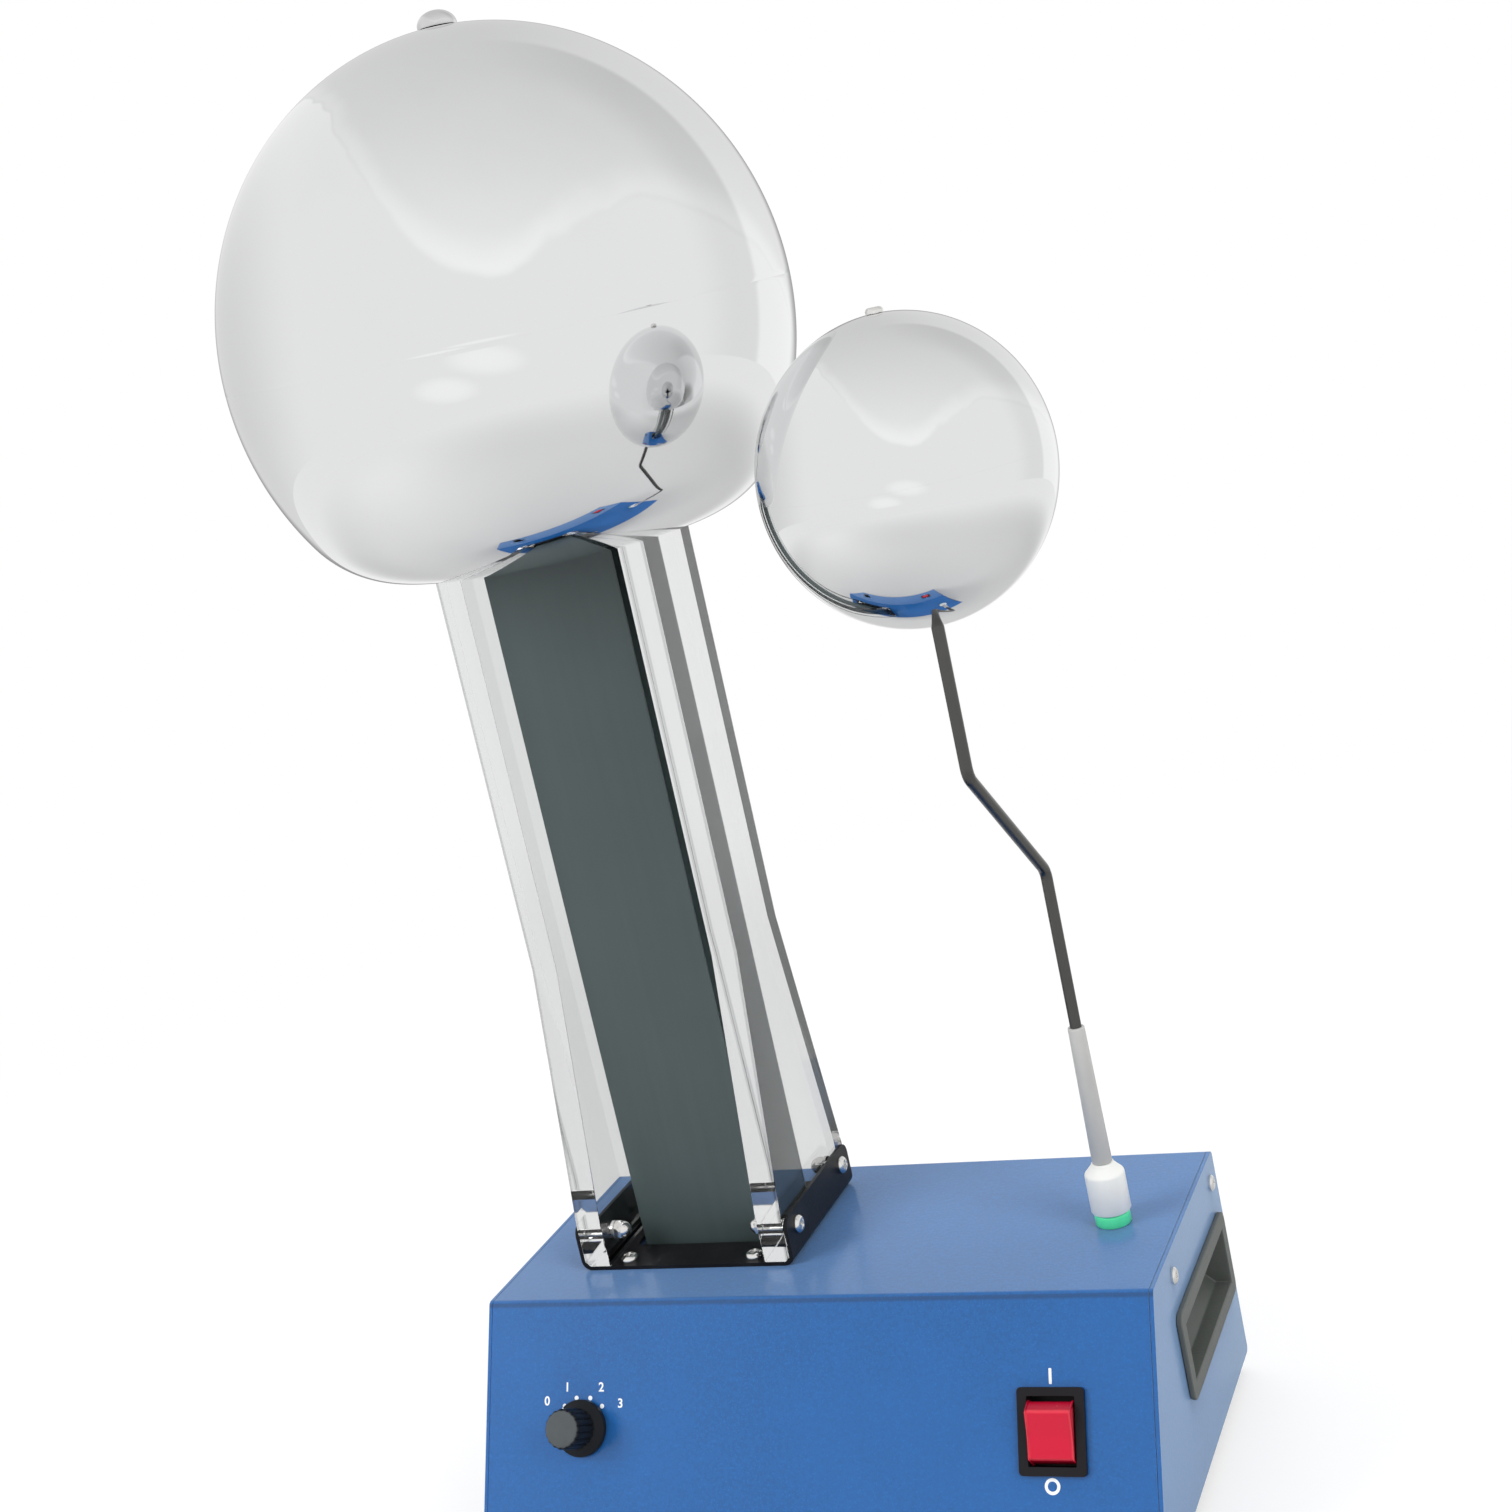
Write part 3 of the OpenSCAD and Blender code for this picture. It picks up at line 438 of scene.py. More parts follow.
def knobFinish():
    # Black skirt and grip, and a cap painted greyer with turning marks: a painted highlight for the light
    # its flat face catches
    k = knob
    m = plastic("knobPlastic", k["black"], 0.4, 1600, 0.25, Specular_IOR_Level=0.15)
    panel = (onPanel(0, 0) - layout["shift"]) @ panelOut / 1000
    out = m.dot(m.place(), tuple(panelOut)) - float(panel)
    # Painted highlight: the cap painted greyer than the black grip
    cap = m.blend(m.noise(300, 3.0), k["cap"], shade(k["cap"], 0.8))
    m.set("Base Color", m.blend(out.step(*k["capFrom"]), k["black"], cap))
    return m


def rockerFinish():
    # Bright face, with a painted highlight on its paler rims and painted shade in darker crimson where the
    # walls turn away
    k = rocker
    m = plastic("rockerRed", k["face"], 0.25, 500, 0.05, Specular_IOR_Level=0.35)
    middle = (onPanel(*layout["switch"], k["pivot"]) - layout["shift"]) / 1000
    lengthwise = rockerAxes()[0]
    across = (m.axis(0) - float(middle[0])).size()
    along = (m.dot(m.place(), tuple(lengthwise)) - float(middle @ lengthwise)).size()

    def beyond(side, end):
        return across.step(*side).larger(along.step(*end))

    # Painted highlight on the rims, and painted shade on the walls
    face = m.blend(0.7 * beyond(*k["rimHighlightFrom"]), k["face"], k["rim"])
    m.set("Base Color", m.blend(beyond(*k["wallShadeFrom"]), face, k["wall"]))
    return m


def makeFinishes():
    made = [enamelFinish(), acrylicFinish(), knobFinish(), rockerFinish()]

    # Spun and polished steel: faint turning marks and a trace of handling haze
    m = Finish("mirrorSteel", (0.80, 0.804, 0.808), 0.035, 1.0)
    haze = m.noise(9, 4.0).step(0.5, 0.8)
    rings = m.noise(1.0, 2.0, stretch=(3.0, 3.0, 900.0))
    m.set("Roughness", 0.028 + 0.03 * haze + 0.012 * rings)
    m.set("Base Color", m.blend(haze, (0.805, 0.809, 0.813), (0.77, 0.774, 0.778)))
    made.append(m)

    # Belt: calendered rubber with faint streaks along its run
    m = Finish("beltRubber", (0.046, 0.064, 0.065), 0.42)
    streak = m.noise(1.0, 3.0, stretch=(420.0, 420.0, 9.0))
    cloud = m.noise(18, 3.0)
    m.set("Base Color", m.blend(0.5 * streak + 0.5 * cloud, (0.038, 0.054, 0.055), (0.058, 0.078, 0.079)))
    m.set("Roughness", 0.34 + 0.16 * streak)
    m.bump(streak, 0.12, 0.0002)
    made.append(m)

    # Satin black enamel, worn a little lighter in patches
    m = Finish("blackEnamel", (0.008, 0.008, 0.009), 0.3, Specular_IOR_Level=0.15)
    wear = m.noise(60, 4.0)
    m.set("Base Color", m.blend(wear.step(0.45, 0.8), (0.007, 0.007, 0.008), (0.016, 0.016, 0.018)))
    m.set("Roughness", 0.26 + 0.16 * m.noise(700, 2.0))
    m.bump(m.noise(1100, 2.0), 0.15, 0.0002)
    made.append(m)

    made += [
        plastic("handlePlastic", (0.090, 0.100, 0.092), 0.5, 900, 0.35),
        plastic("blackPlastic", (0.009, 0.008, 0.010), 0.36, Specular_IOR_Level=0.2),
        plastic("whiteNylon", (0.73, 0.735, 0.715), 0.38, 700, 0.1, Subsurface_Weight=0.25,
                Subsurface_Scale=0.004, Subsurface_Radius=(1.0, 0.9, 0.8)),
        plastic("sleeveNylon", (0.45, 0.45, 0.44), 0.42, 700, 0.1, Subsurface_Weight=0.15,
                Subsurface_Scale=0.003, Subsurface_Radius=(1.0, 1.0, 0.9)),
        plastic("greenPlastic", (0.11, 0.80, 0.38), 0.3, 700, 0.08, Subsurface_Weight=0.2,
                Subsurface_Scale=0.003, Subsurface_Radius=(0.4, 1.0, 0.6)),
        plastic("footRubber", (0.020, 0.020, 0.021), 0.62, 800, 0.4),
        plastic("rollerWhite", (0.74, 0.74, 0.71), 0.36, 600, 0.1),
        plastic("rollerDark", (0.045, 0.045, 0.047), 0.4, 600, 0.15),
        plastic("printWhite", (0.82, 0.85, 0.87), 0.45, 2500, 0.1),
        metal("brightNickel", (0.80, 0.79, 0.77), 0.16, (900.0, 900.0, 900.0)),
        metal("groundSteel", (0.58, 0.58, 0.58), 0.26, (2600.0, 90.0, 90.0)),
        metal("finialSteel", (0.70, 0.70, 0.70), 0.11, (700.0, 700.0, 700.0), 0.05, 0.06),
        metal("rodSteel", (0.105, 0.104, 0.100), 0.30, (500.0, 500.0, 60.0)),
        metal("seatAluminium", (0.76, 0.77, 0.78), 0.34, (90.0, 2200.0, 90.0)),
        metal("combBrass", (0.78, 0.60, 0.28), 0.28, (500.0, 500.0, 500.0)),
        metal("motorShell", (0.11, 0.11, 0.115), 0.36, (1500.0, 60.0, 60.0)),
    ]

    # Zinc spangle: patches of slightly different grey
    m = Finish("zincSheet", (0.60, 0.61, 0.62), 0.38, 1.0)
    spangle = m.node("TexVoronoi", {"feature": "F1"}, out="Color", Vector=m.place(), Scale=140)
    patch = m.node("SeparateColor", out=0, Color=spangle)
    m.set("Base Color", m.blend(patch, (0.52, 0.53, 0.54), (0.68, 0.69, 0.70)))
    m.set("Roughness", 0.3 + 0.18 * patch)
    made.append(m)

    # Solder mask over copper tracks: raised lines on a grid of five millimetres
    m = Finish("boardGreen", (0.008, 0.12, 0.035), 0.26, Coat_Weight=0.4)
    pitch = 0.005
    tracks = (m.axis(0) / pitch).maths("FRACT").step(0.78, 0.86)
    m.set("Base Color", m.blend(tracks, (0.008, 0.11, 0.032), (0.020, 0.20, 0.070)))
    m.bump(tracks, 0.3, 0.0002)
    made.append(m)

    # Board parts: black cans and dark heat sink on one side, blue relay and green terminals on the other
    m = Finish("boardParts", (0.05, 0.05, 0.055), 0.4)
    side = m.axis(0)
    first = m.blend(side.step(0.060, 0.062), (0.03, 0.08, 0.30), (0.035, 0.035, 0.040))
    m.set("Base Color", m.blend(side.step(0.095, 0.097), first, (0.02, 0.30, 0.14)))
    m.set("Roughness", 0.3 + 0.2 * m.noise(500, 2.0))
    made.append(m)
    print("finishes made:", len(made))
    return {m.material.name: m.material for m in made}


# ---- dome and ball ----

shell = {
    "domeR": 109.0, "stretch": 1.045, "domeWall": 1.0, "blend": 33.0, "lipDrop": 83.0,
    "neckR": 54.0, "lipR": 6.0, "flangeZ": -68.9, "flangeR": 51.0, "domeHole": 2.15,
    "ballR": 50.0, "ballWall": 0.8, "rodHole": 2.25, "screwHole": 1.6,
    "lap": 5.0, "tongue": (0.95, 0.25), "touch": 0.1, "seam": 0.003, "nearSeam": 0.006,
    "around": 240, "ballAround": 200,
}
finial = {  # radius and height over the dome's top
    "stem": [(0, -12), (1.6, -12), (2, -11.6), (2, 0), (7.0, 0), (7.3, 0.12)],
    "r": 7.5, "high": 5.5, "rise": 0.7,
}


def ovalPoints(r, stretch, start, end, n):
    # Ellipse in latitude degrees: (r cos t, stretch r sin t)
    t = np.radians(np.linspace(start, end, n))
    return np.stack([r * np.cos(t), stretch * r * np.sin(t)], axis=-1)


def inset(path, t):
    # The path moved t to the left of its direction
    d = np.gradient(path, axis=0)
    d /= np.linalg.norm(d, axis=1)[:, None]
    return path + t * np.stack([-d[:, 1], d[:, 0]], axis=-1)


def domeMeridian():
    # Spheroid, an arc that turns in at the bottom, the rolled lip and the neck
    s = shell
    a, b, low = s["domeR"], s["domeR"] * s["stretch"], math.radians(s["blend"])
    p = np.array([a * math.cos(low), -b * math.sin(low)])
    n = np.array([math.cos(low) / a, -math.sin(low) / b])
    n /= np.linalg.norm(n)
    r = (p[1] + s["lipDrop"]) / (1 + n[1])
    c = p - r * n
    lipX = s["neckR"] + s["lipR"]
    lip = np.array([lipX, c[1] - math.sqrt((r - s["lipR"]) ** 2 - (lipX - c[0]) ** 2)])
    lean = math.degrees(math.atan2(lip[1] - c[1], lip[0] - c[0]))
    start = math.degrees(math.atan2(n[1], n[0]))
    neck = np.linspace([s["neckR"], lip[1]], [s["neckR"], s["flangeZ"]], 4)[1:]
    side = ovalPoints(a, s["stretch"], -s["nearSeam"], -s["blend"], 50)
    under = arcPoints(c, r, start, lean, 30)
    return np.concatenate([side[:-1], under[:-1], arcPoints(lip, s["lipR"], lean, -180, 18), neck])


def lowerShell(outer, inner, r, wall):
    # From a hairline seam down the outer path, up the inner one to the lap, and round the tongue
    seam, lap = shell["seam"], shell["lap"]
    deep, shallow = (r - wall - t for t in shell["tongue"])
    rim = [(shallow, -seam), (r - seam, -seam)]
    tongue = [(deep, -lap), (deep, lap), (shallow, lap), (shallow, -seam)]
    return np.concatenate([rim, outer, inner[inner[:, 1] < -lap], tongue])


def holeAngle(hole, r):
    # Latitude at which a round hole cuts the shell, in degrees
    return math.degrees(math.acos(hole / r))


def upperShell(r, wall, hole):
    s = shell
    outer = ovalPoints(r, s["stretch"], s["nearSeam"], holeAngle(hole, r), 90)
    within = r - wall
    flatter = (s["stretch"] * r - wall) / within
    inner = ovalPoints(within, flatter, s["nearSeam"], holeAngle(hole, within), 60)
    loop = np.concatenate([[(r - s["seam"], s["seam"])], outer, inner[::-1]])
    return np.concatenate([loop, loop[:1]])


def buildDome():
    s = shell
    at = layout["dome"]
    r, w = s["domeR"], s["domeWall"]
    side = domeMeridian()
    low = s["flangeZ"]
    flange = [(s["flangeR"], low), (s["flangeR"], low + w), (s["neckR"] + w, low + w)]
    path = lowerShell(np.concatenate([side, flange]), inset(side[:-3], -w)[-2::-1], r, w)
    addNode("dome_lower", "mirrorSteel", [place(turned(path, s["around"]), at)], "dome", sharp=40)
    path = upperShell(r, w, s["domeHole"])
    addNode("dome_upper", "mirrorSteel", [place(turned(path, s["around"]), at)], "dome", sharp=40)
    cap = ovalPoints(finial["r"], finial["high"] / finial["r"], 0, 90, 28) + [0, finial["rise"]]
    path = np.concatenate([finial["stem"], cap]) + [0, r * s["stretch"] + s["touch"]]
    addNode("dome_finial", "finialSteel", [place(turned(path, 96), at)], "dome", sharp=40)
    print("dome built")


head = {  # pan heads, as shares of their radius and height
    "crown": 0.10, "roll": 0.42, "rollFrom": 0.62, "rollPower": 2.2, "skirt": 0.22,
    "armHalf": 0.15, "armSoft": 0.05, "armReach": 0.56, "endSoft": 0.12, "cut": 0.5,
}
nut = {"corner": 0.35, "mouth": 0.25, "faceRound": 1.035}


def screwGrid(headR, headH, shankR, shankL, turns=64):
    # Pan head with a cross recess: the height falls where either arm of the cross passes
    h = head
    a = np.linspace(0, 2 * np.pi, turns + 1)
    r = np.linspace(0, 1, 26)[:, None]
    roll = np.clip((r - h["rollFrom"]) / (1 - h["rollFrom"]), 0, 1) ** h["rollPower"]
    crown = 1 - h["crown"] * r ** 2 - h["roll"] * roll
    x, y = r * np.cos(a), r * np.sin(a)

    def arm(u, v):
        sides = np.clip((h["armHalf"] - np.abs(u)) / h["armSoft"] + 0.5, 0, 1)
        return sides * np.clip((h["armReach"] - np.abs(v)) / h["endSoft"], 0, 1)

    cut = np.maximum(arm(x, y), arm(y, x)) * h["cut"]
    top = np.stack([headR * x, headR * y, headH * (crown - cut)], axis=-1)
    edge, tip = 0.04, 0.3
    under = [(headR, h["skirt"] * headH), (headR, edge), (headR - edge, 0), (shankR, 0)]
    shank = [(shankR, tip - shankL), (shankR - tip, -shankL), (0, -shankL)]
    return np.concatenate([top, turned(under + shank, turns)])


def nutGrid(across, height, hole, turns=72):
    # Hexagonal nut: the six flats, cut back to a circle at both ends by the chamfer
    a = np.linspace(0, 2 * np.pi, turns + 1)
    hexR = across / 2 / np.cos((a + np.pi / 6) % (np.pi / 3) - np.pi / 6)
    bevel = np.minimum(hexR, across / 2 * nut["faceRound"])
    corner, mouth = nut["corner"], nut["mouth"]
    rings = [(hole, mouth), (hole + mouth, 0), (bevel, 0), (hexR, corner), (hexR, height - corner),
             (bevel, height), (hole + mouth, height), (hole, height - mouth), (hole, mouth)]
    return np.stack([np.stack([r * np.cos(a), r * np.sin(a), z + 0 * a], axis=-1) for r, z in rings])


def axes(out, spin=0.0):
    # Right-handed axes with z along out, turned by spin degrees about it
    z = np.asarray(out, float)
    x = np.cross(alongZ, z) if abs(z[2]) < 0.9 else alongX.copy()
    x /= np.linalg.norm(x)
    y = np.cross(z, x)
    a = math.radians(spin)
    return {"x": math.cos(a) * x + math.sin(a) * y, "y": math.cos(a) * y - math.sin(a) * x, "z": z}


def screwAt(at, out, headR, headH, shankR, shankL, spin):
    return place(screwGrid(headR, headH, shankR, shankL), at, **axes(out, spin))


def buildBall():
    s = shell
    at = layout["ball"]
    r, w = s["ballR"], s["ballWall"]
    outer = ovalPoints(r, s["stretch"], -s["nearSeam"], -holeAngle(s["rodHole"], r), 90)
    path = lowerShell(outer, inset(outer, -w)[::-1], r, w)
    addNode("ball_lower", "mirrorSteel", [place(turned(path, s["ballAround"]), at)], "discharger", sharp=40)
    path = upperShell(r, w, s["screwHole"])
    addNode("ball_upper", "mirrorSteel", [place(turned(path, s["ballAround"]), at)], "discharger", sharp=40)
    top = np.array(at) + [0, 0, r * s["stretch"] + s["touch"]]
    screw = screwAt(top, alongZ, *screws["ball"], spin=20)
    addNode("ball_screw", "brightNickel", [screw], "discharger")
    print("ball built")


# ---- plug, sleeve and cranked rod ----

rod = {
    "r": 2.2, "low": 143.0, "high": 199.0, "reach": 65.0, "bend": 8.0, "foot": 10.0,
    "intoBall": 0.9,                  # how far the rod's end stays under the ball's top
}
plug = {  # radius and height over the case's top, from the socket's axis
    "body": [(2.55, 5.3), (7.1, 5.3), (7.45, 5.42), (7.7, 5.85), (7.7, 20.2), (7.62, 20.75), (7.35, 21.3),
             (6.9, 21.75), (4.8, 24.1), (4.45, 24.6), (4.3, 25.1), (4.1, 25.2), (2.25, 25.2), (2.25, 9.9),
             (2.55, 9.9), (2.55, 5.3)],
    "sleeve": [(2.25, 25.3), (3.7, 25.3), (3.9, 25.5), (3.24, 80.0), (3.1, 80.5), (2.9, 80.6), (2.25, 80.6),
               (2.25, 25.3)],
    "pin": [(0, -17.5), (0.8, -17.5), (1.1, -17.3), (1.7, -16.5), (1.7, -14.4), (1.5, -14.25), (1.5, 4),
            (2.5, 4), (2.5, 9.8), (0, 9.8)],
    "thread": [(2.9, 4.85), (2.9, -14), (4.2, -14), (4.5, -13.7), (4.5, 0.1), (6.7, 0.1), (6.9, 0.3)],
    "ringEdge": (5.9, 4.0), "ringInside": [(3.1, 5.0), (2.9, 4.85)],
}


def rodPath():
    # Up, forwards through two bends, and up again, as (y, z) from the socket
    b, reach = rod["bend"], rod["reach"]
    lean = math.atan2(reach, rod["high"] - rod["low"])
    cut = b * math.tan(lean / 2)
    turn = np.linspace(0, lean, 15)
    bow = np.stack([b * np.cos(turn) - b, b * np.sin(turn)], axis=-1)
    first = bow + [0, rod["low"] - cut]
    second = [-reach, rod["high"] + cut] - bow[::-1]
    ballTop = layout["ball"][2] - layout["caseTop"] + shell["ballR"] * shell["stretch"]
    start = np.linspace([0, rod["foot"]], first[0], 12)[:-1]
    middle = np.linspace(first[-1], second[0], 10)[1:-1]
    end = np.linspace(second[-1], [-reach, ballTop - rod["intoBall"]], 16)[1:]
    yz = np.concatenate([start, first, middle, second, end])
    return np.concatenate([np.zeros((len(yz), 1)), yz], axis=1)


def buildPlug():
    at = layout["socket"]
    tube = swept(rodPath(), circleRing(rod["r"], 40))
    addNode("discharge_rod", "rodSteel", [place(closedLoft(tube), at)], "discharger", sharp=50)
    edge = arcPoints(plug["ringEdge"], 1, 0, 90, 10)
    collar = np.concatenate([plug["thread"], edge, plug["ringInside"]])
    for node, finish, profile, around, body in (
            ("plug_body", "whiteNylon", plug["body"], 96, "discharger"),
            ("rod_sleeve", "sleeveNylon", plug["sleeve"], 80, "discharger"),
            ("socket_collar", "greenPlastic", collar, 96, "base"),
            ("plug_pin", "combBrass", plug["pin"], 48, "discharger")):
        addNode(node, finish, [place(turned(profile, around), at)], body, sharp=50)
    print("plug and rod built")


# ---- belt ----

belt = {
    "width": 56.2, "thick": 0.9, "edge": 0.3, "inner": 13.8, "low": -48.0, "high": 345.0,
    "turn": 36, "straight": 60,
}


def buildBelt():
    # The racetrack round both rollers, with softly rounded edges
    s = belt
    a = np.radians(np.linspace(0, 180, s["turn"] + 1))
    mid = s["inner"] + s["thick"] / 2
    up = np.linspace(s["low"], s["high"], s["straight"])
    bow = mid * np.stack([np.cos(a), np.sin(a)], axis=-1)
    down = np.stack([np.full(len(up), -mid), up[::-1]], axis=-1)
    rise = np.stack([np.full(len(up), mid), up], axis=-1)
    path = np.concatenate([bow[:-1] + [0, s["high"]], down[:-1], [0, s["low"]] - bow[:-1], rise[:-1]])
    d = np.roll(path, -1, axis=0) - np.roll(path, 1, axis=0)
    d /= np.linalg.norm(d, axis=1)[:, None]
    out = np.stack([d[:, 1], -d[:, 0]], axis=-1)
    ring = roundedLoop(s["width"], s["thick"], s["edge"], 3)
    flat = path[:, None] + ring[None, :, 1:] * out[:, None]
    x = np.broadcast_to(ring[None, :, :1], (*flat.shape[:2], 1))
    loop = np.concatenate([x, flat], axis=-1)
    loop = np.concatenate([loop, loop[:1]])
    addNode("drive_belt", "beltRubber", [place(loop, layout["column"])], "base", sharp=60)
    print("belt built")


# ---- fasteners ----

screws = {
    # head's radius and height, shank's radius and length
    "caseSize": (3.2, 1.9, 1.6, 7), "bracketSize": (3.6, 2.4, 2, 9.3), "plateSize": (3.6, 2.4, 2, 16),
    "inletSize": (2.9, 1.6, 1.5, 9), "ball": (3, 1.9, 1.45, 8),
    "side": [(27.5, 89.0), (104.0, 89.0), (-28.0, 19.0)],       # back from the fold, and up
    "offSide": 0.05,
    "base": (28.0, 31.0), "baseTop": 1.7, "nutTop": 6.9,        # from the column's foot
    "flange": (26.5, 13.0), "bracketOut": 47.2, "plateIn": 34.5,
    "inlet": (68.0, 118.7, 52.0), "inletApart": 20.0,
    "nut": (7, 3.2, 2.02), "nutOn": 1.3, "acornR": 3.4, "acornFrom": 4.2,
    "washer": [(2.1, 0), (4, 0), (4, 1.2), (2.1, 1.2), (2.1, 0)],
}


def buildScrews():
    k = screws
    column = np.array(layout["column"])
    pitch = [(x, y) for x in (-1, 1) for y in (-1, 1)]
    onSide = layout["sideX"] + k["offSide"]
    grids = [screwAt((sx * onSide, y, z), sx * alongX, *k["caseSize"], spin=17 + 31 * i)
             for sx in (-1, 1) for i, (y, z) in enumerate(k["side"])]
    addNode("case_screws", "brightNickel", grids, "base")
    bx, by = k["base"]
    grids = []
    for i, (sx, sy) in enumerate(pitch):
        at = column + [sx * bx, sy * by, 0]
        grids += [screwAt(at + [0, 0, k["baseTop"]], alongZ, *k["bracketSize"], spin=12 + 40 * i),
                  place(nutGrid(*k["nut"]), at - [0, 0, k["nutTop"]])]
    addNode("bracket_screws", "brightNickel", grids, "base")
    fy, fz = k["flange"]
    bo = k["bracketOut"]
    grids = [screwAt(column + [sx * bo, sy * fy, fz], sx * alongX, *k["plateSize"], spin=25 + 55 * i)
             for i, (sx, sy) in enumerate(pitch)]
    addNode("plate_screws", "brightNickel", grids, "base")
    acorn = arcPoints((0, k["acornFrom"]), k["acornR"], 0, 90, 14)
    acorn = np.concatenate([[(0, k["acornFrom"]), acorn[0]], acorn])
    grids = []
    for sx, sy in pitch:
        at = column + [sx * k["plateIn"], sy * fy, fz]
        inwards = axes(-sx * alongX)
        grids += [place(turned(k["washer"], 48), at, **inwards),
                  place(nutGrid(*k["nut"]) + [0, 0, k["nutOn"]], at, **inwards),
                  place(turned(acorn, 48), at, **inwards)]
    addNode("plate_nuts", "brightNickel", grids, "base")
    middle = np.array(k["inlet"])
    grids = [screwAt(middle + sx * k["inletApart"] * alongX, alongY, *k["inletSize"], spin=33 * sx)
             for sx in (-1, 1)]
    addNode("inlet_screws", "blackPlastic", grids, "base")
    print("fasteners built")


# ---- controls ----

knob = {
    # cap is a painted highlight: the grey that stands in for the light on the knob's flat cap
    "black": (0.007, 0.0085, 0.011), "cap": (0.085, 0.095, 0.100),
    "capFrom": (0.0172, 0.0178),                                # metres over the panel
    # Radius and height over the panel
    "skirtLow": [(5.2, 2.8), (8.4, 2.8), (8.4, 0.8), (10.6, 0.8), (10.85, 0.95)], "skirtEdge": (9.9, 2.6),
    "skirtTop": [(8.6, 4.7), (7.6, 5.4), (5.2, 5.4), (5.2, 2.8)],
    # Radius, height and how much of the flutes shows there
    "grip": [(0, 4.9, 0), (6.6, 4.9, 0), (7.4, 5.0, 1), (7.5, 5.6, 1), (7.42, 15.9, 1), (7.3, 16.6, 0.9),
             (7.0, 17.3, 0.5), (6.6, 17.75, 0.15), (6.2, 17.95, 0), (5.9, 18.0, 0), (0, 18.0, 0)],
    "flutes": 18, "perFlute": 12, "depth": 0.34, "round": 0.7,
    "pointer": 135.0, "pointerAt": 9.5, "pointerSize": (2.4, 1.0, 0.3),
    "pointerFrom": 3.3, "pointerTo": 3.62,
}


def buildKnob():
    k = knob
    at = onPanel(*layout["knob"])
    skirt = np.concatenate([k["skirtLow"], arcPoints(k["skirtEdge"], 1, 0, 78, 8), k["skirtTop"]])
    # Grip: the radius ripples with the flutes, and the ripple dies out at the cap
    a = np.linspace(0, 2 * np.pi, k["flutes"] * k["perFlute"] + 1)
    rows = np.array(k["grip"])
    ripple = np.abs(np.cos(a * k["flutes"] / 2)) ** k["round"] * 2 * k["depth"] - k["depth"]
    r = rows[:, :1] + rows[:, 2:] * ripple
    grip = np.stack([r * np.cos(a), r * np.sin(a), rows[:, 1:2] + 0 * a], axis=-1)
    grids = [place(turned(skirt, 120), at, **panelAxes), place(grip, at, **panelAxes)]
    addNode("speed_knob", "knobPlastic", grids, "knob", sharp=38)
    # White pointer on the skirt
    c = math.radians(k["pointer"])
    along = np.array([math.cos(c), math.sin(c), 0])
    across = np.array([-math.sin(c), math.cos(c), 0])
    ring = roundedLoop(*k["pointerSize"], 4)
    flat = k["pointerAt"] * along + ring[:, :1] * along + ring[:, 1:] * across
    mark = closedLoft(np.stack([flat + k["pointerFrom"] * alongZ, flat + k["pointerTo"] * alongZ]))
    addPiece("knobPointer", [place(mark, at, **panelAxes)], "knob", finishes["printWhite"])
    print("knob built")


rocker = {
    # face is the rocker's own red; rim is a painted highlight and wall is painted shade
    "face": (0.56, 0.006, 0.034), "rim": (0.70, 0.055, 0.080), "wall": (0.36, 0.003, 0.022),
    # Metres from its middle to the side and to the end where the painted rim highlight and the painted wall
    # shade begin
    "rimHighlightFrom": ((0.0074, 0.0081), (0.0077, 0.0084)), "wallShadeFrom": ((0.0083, 0.0086), (0.0086, 0.0092)),
    "width": 17.4, "pivot": -3.0, "tilt": math.radians(11), "bevel": 0.55,
    "hubLow": -0.5, "hubR": 3.4, "hollowAt": 65.0, "hollowR": 57.6, "hollowHalf": 8.2,
    "end": [(10.6, 0.4), (11.3, 1.4), (11.6, 2.6), (11.3, 3.9)], "rimR": 0.9, "drawnTo": (0, 2.5),
}


def rockerAxes():
    # The rocker's own length and its way out, at rest
    a = rocker["tilt"]
    return math.cos(a) * panelUp + math.sin(a) * panelOut, math.cos(a) * panelOut - math.sin(a) * panelUp


def buildRocker():
    # End view (along, out) round the pivot: hub, sloping end walls and a hollow face, drawn in between
    # a narrow rim at each side
    k = rocker
    rim = k["rimR"]
    hub = arcPoints((0, k["hubLow"]), k["hubR"], 200, 340, 10)
    face = arcPoints((0, k["hollowAt"]), k["hollowR"], 270 + k["hollowHalf"], 270 - k["hollowHalf"], 24)
    loop = np.concatenate([hub, k["end"], arcPoints(face[0] - [0.1, rim], rim, 40, 85, 5), face[1:-1],
                           arcPoints(face[-1] + [0.1, -rim], rim, 95, 140, 5),
                           k["end"][::-1] * np.array([-1, 1]), hub[:1]])
    turn = np.radians(np.linspace(0, 90, 6))
    half, bevel = k["width"] / 2, k["bevel"]
    sides = [(bevel * (1 - math.sin(a)) - half, bevel * (1 - math.cos(a))) for a in turn]
    sides += [(-x, cut) for x, cut in sides[::-1]]
    inwards = np.array(k["drawnTo"]) - loop
    inwards /= np.linalg.norm(inwards, axis=1)[:, None]
    rings = [np.concatenate([np.full((len(loop), 1), x), loop + inwards * cut], axis=1) for x, cut in sides]
    along, out = rockerAxes()
    at = onPanel(*layout["switch"], k["pivot"])
    addNode("power_rocker", "rockerRed", [place(closedLoft(rings), at, y=along, z=out)], "rocker", sharp=50)
    print("rocker built")


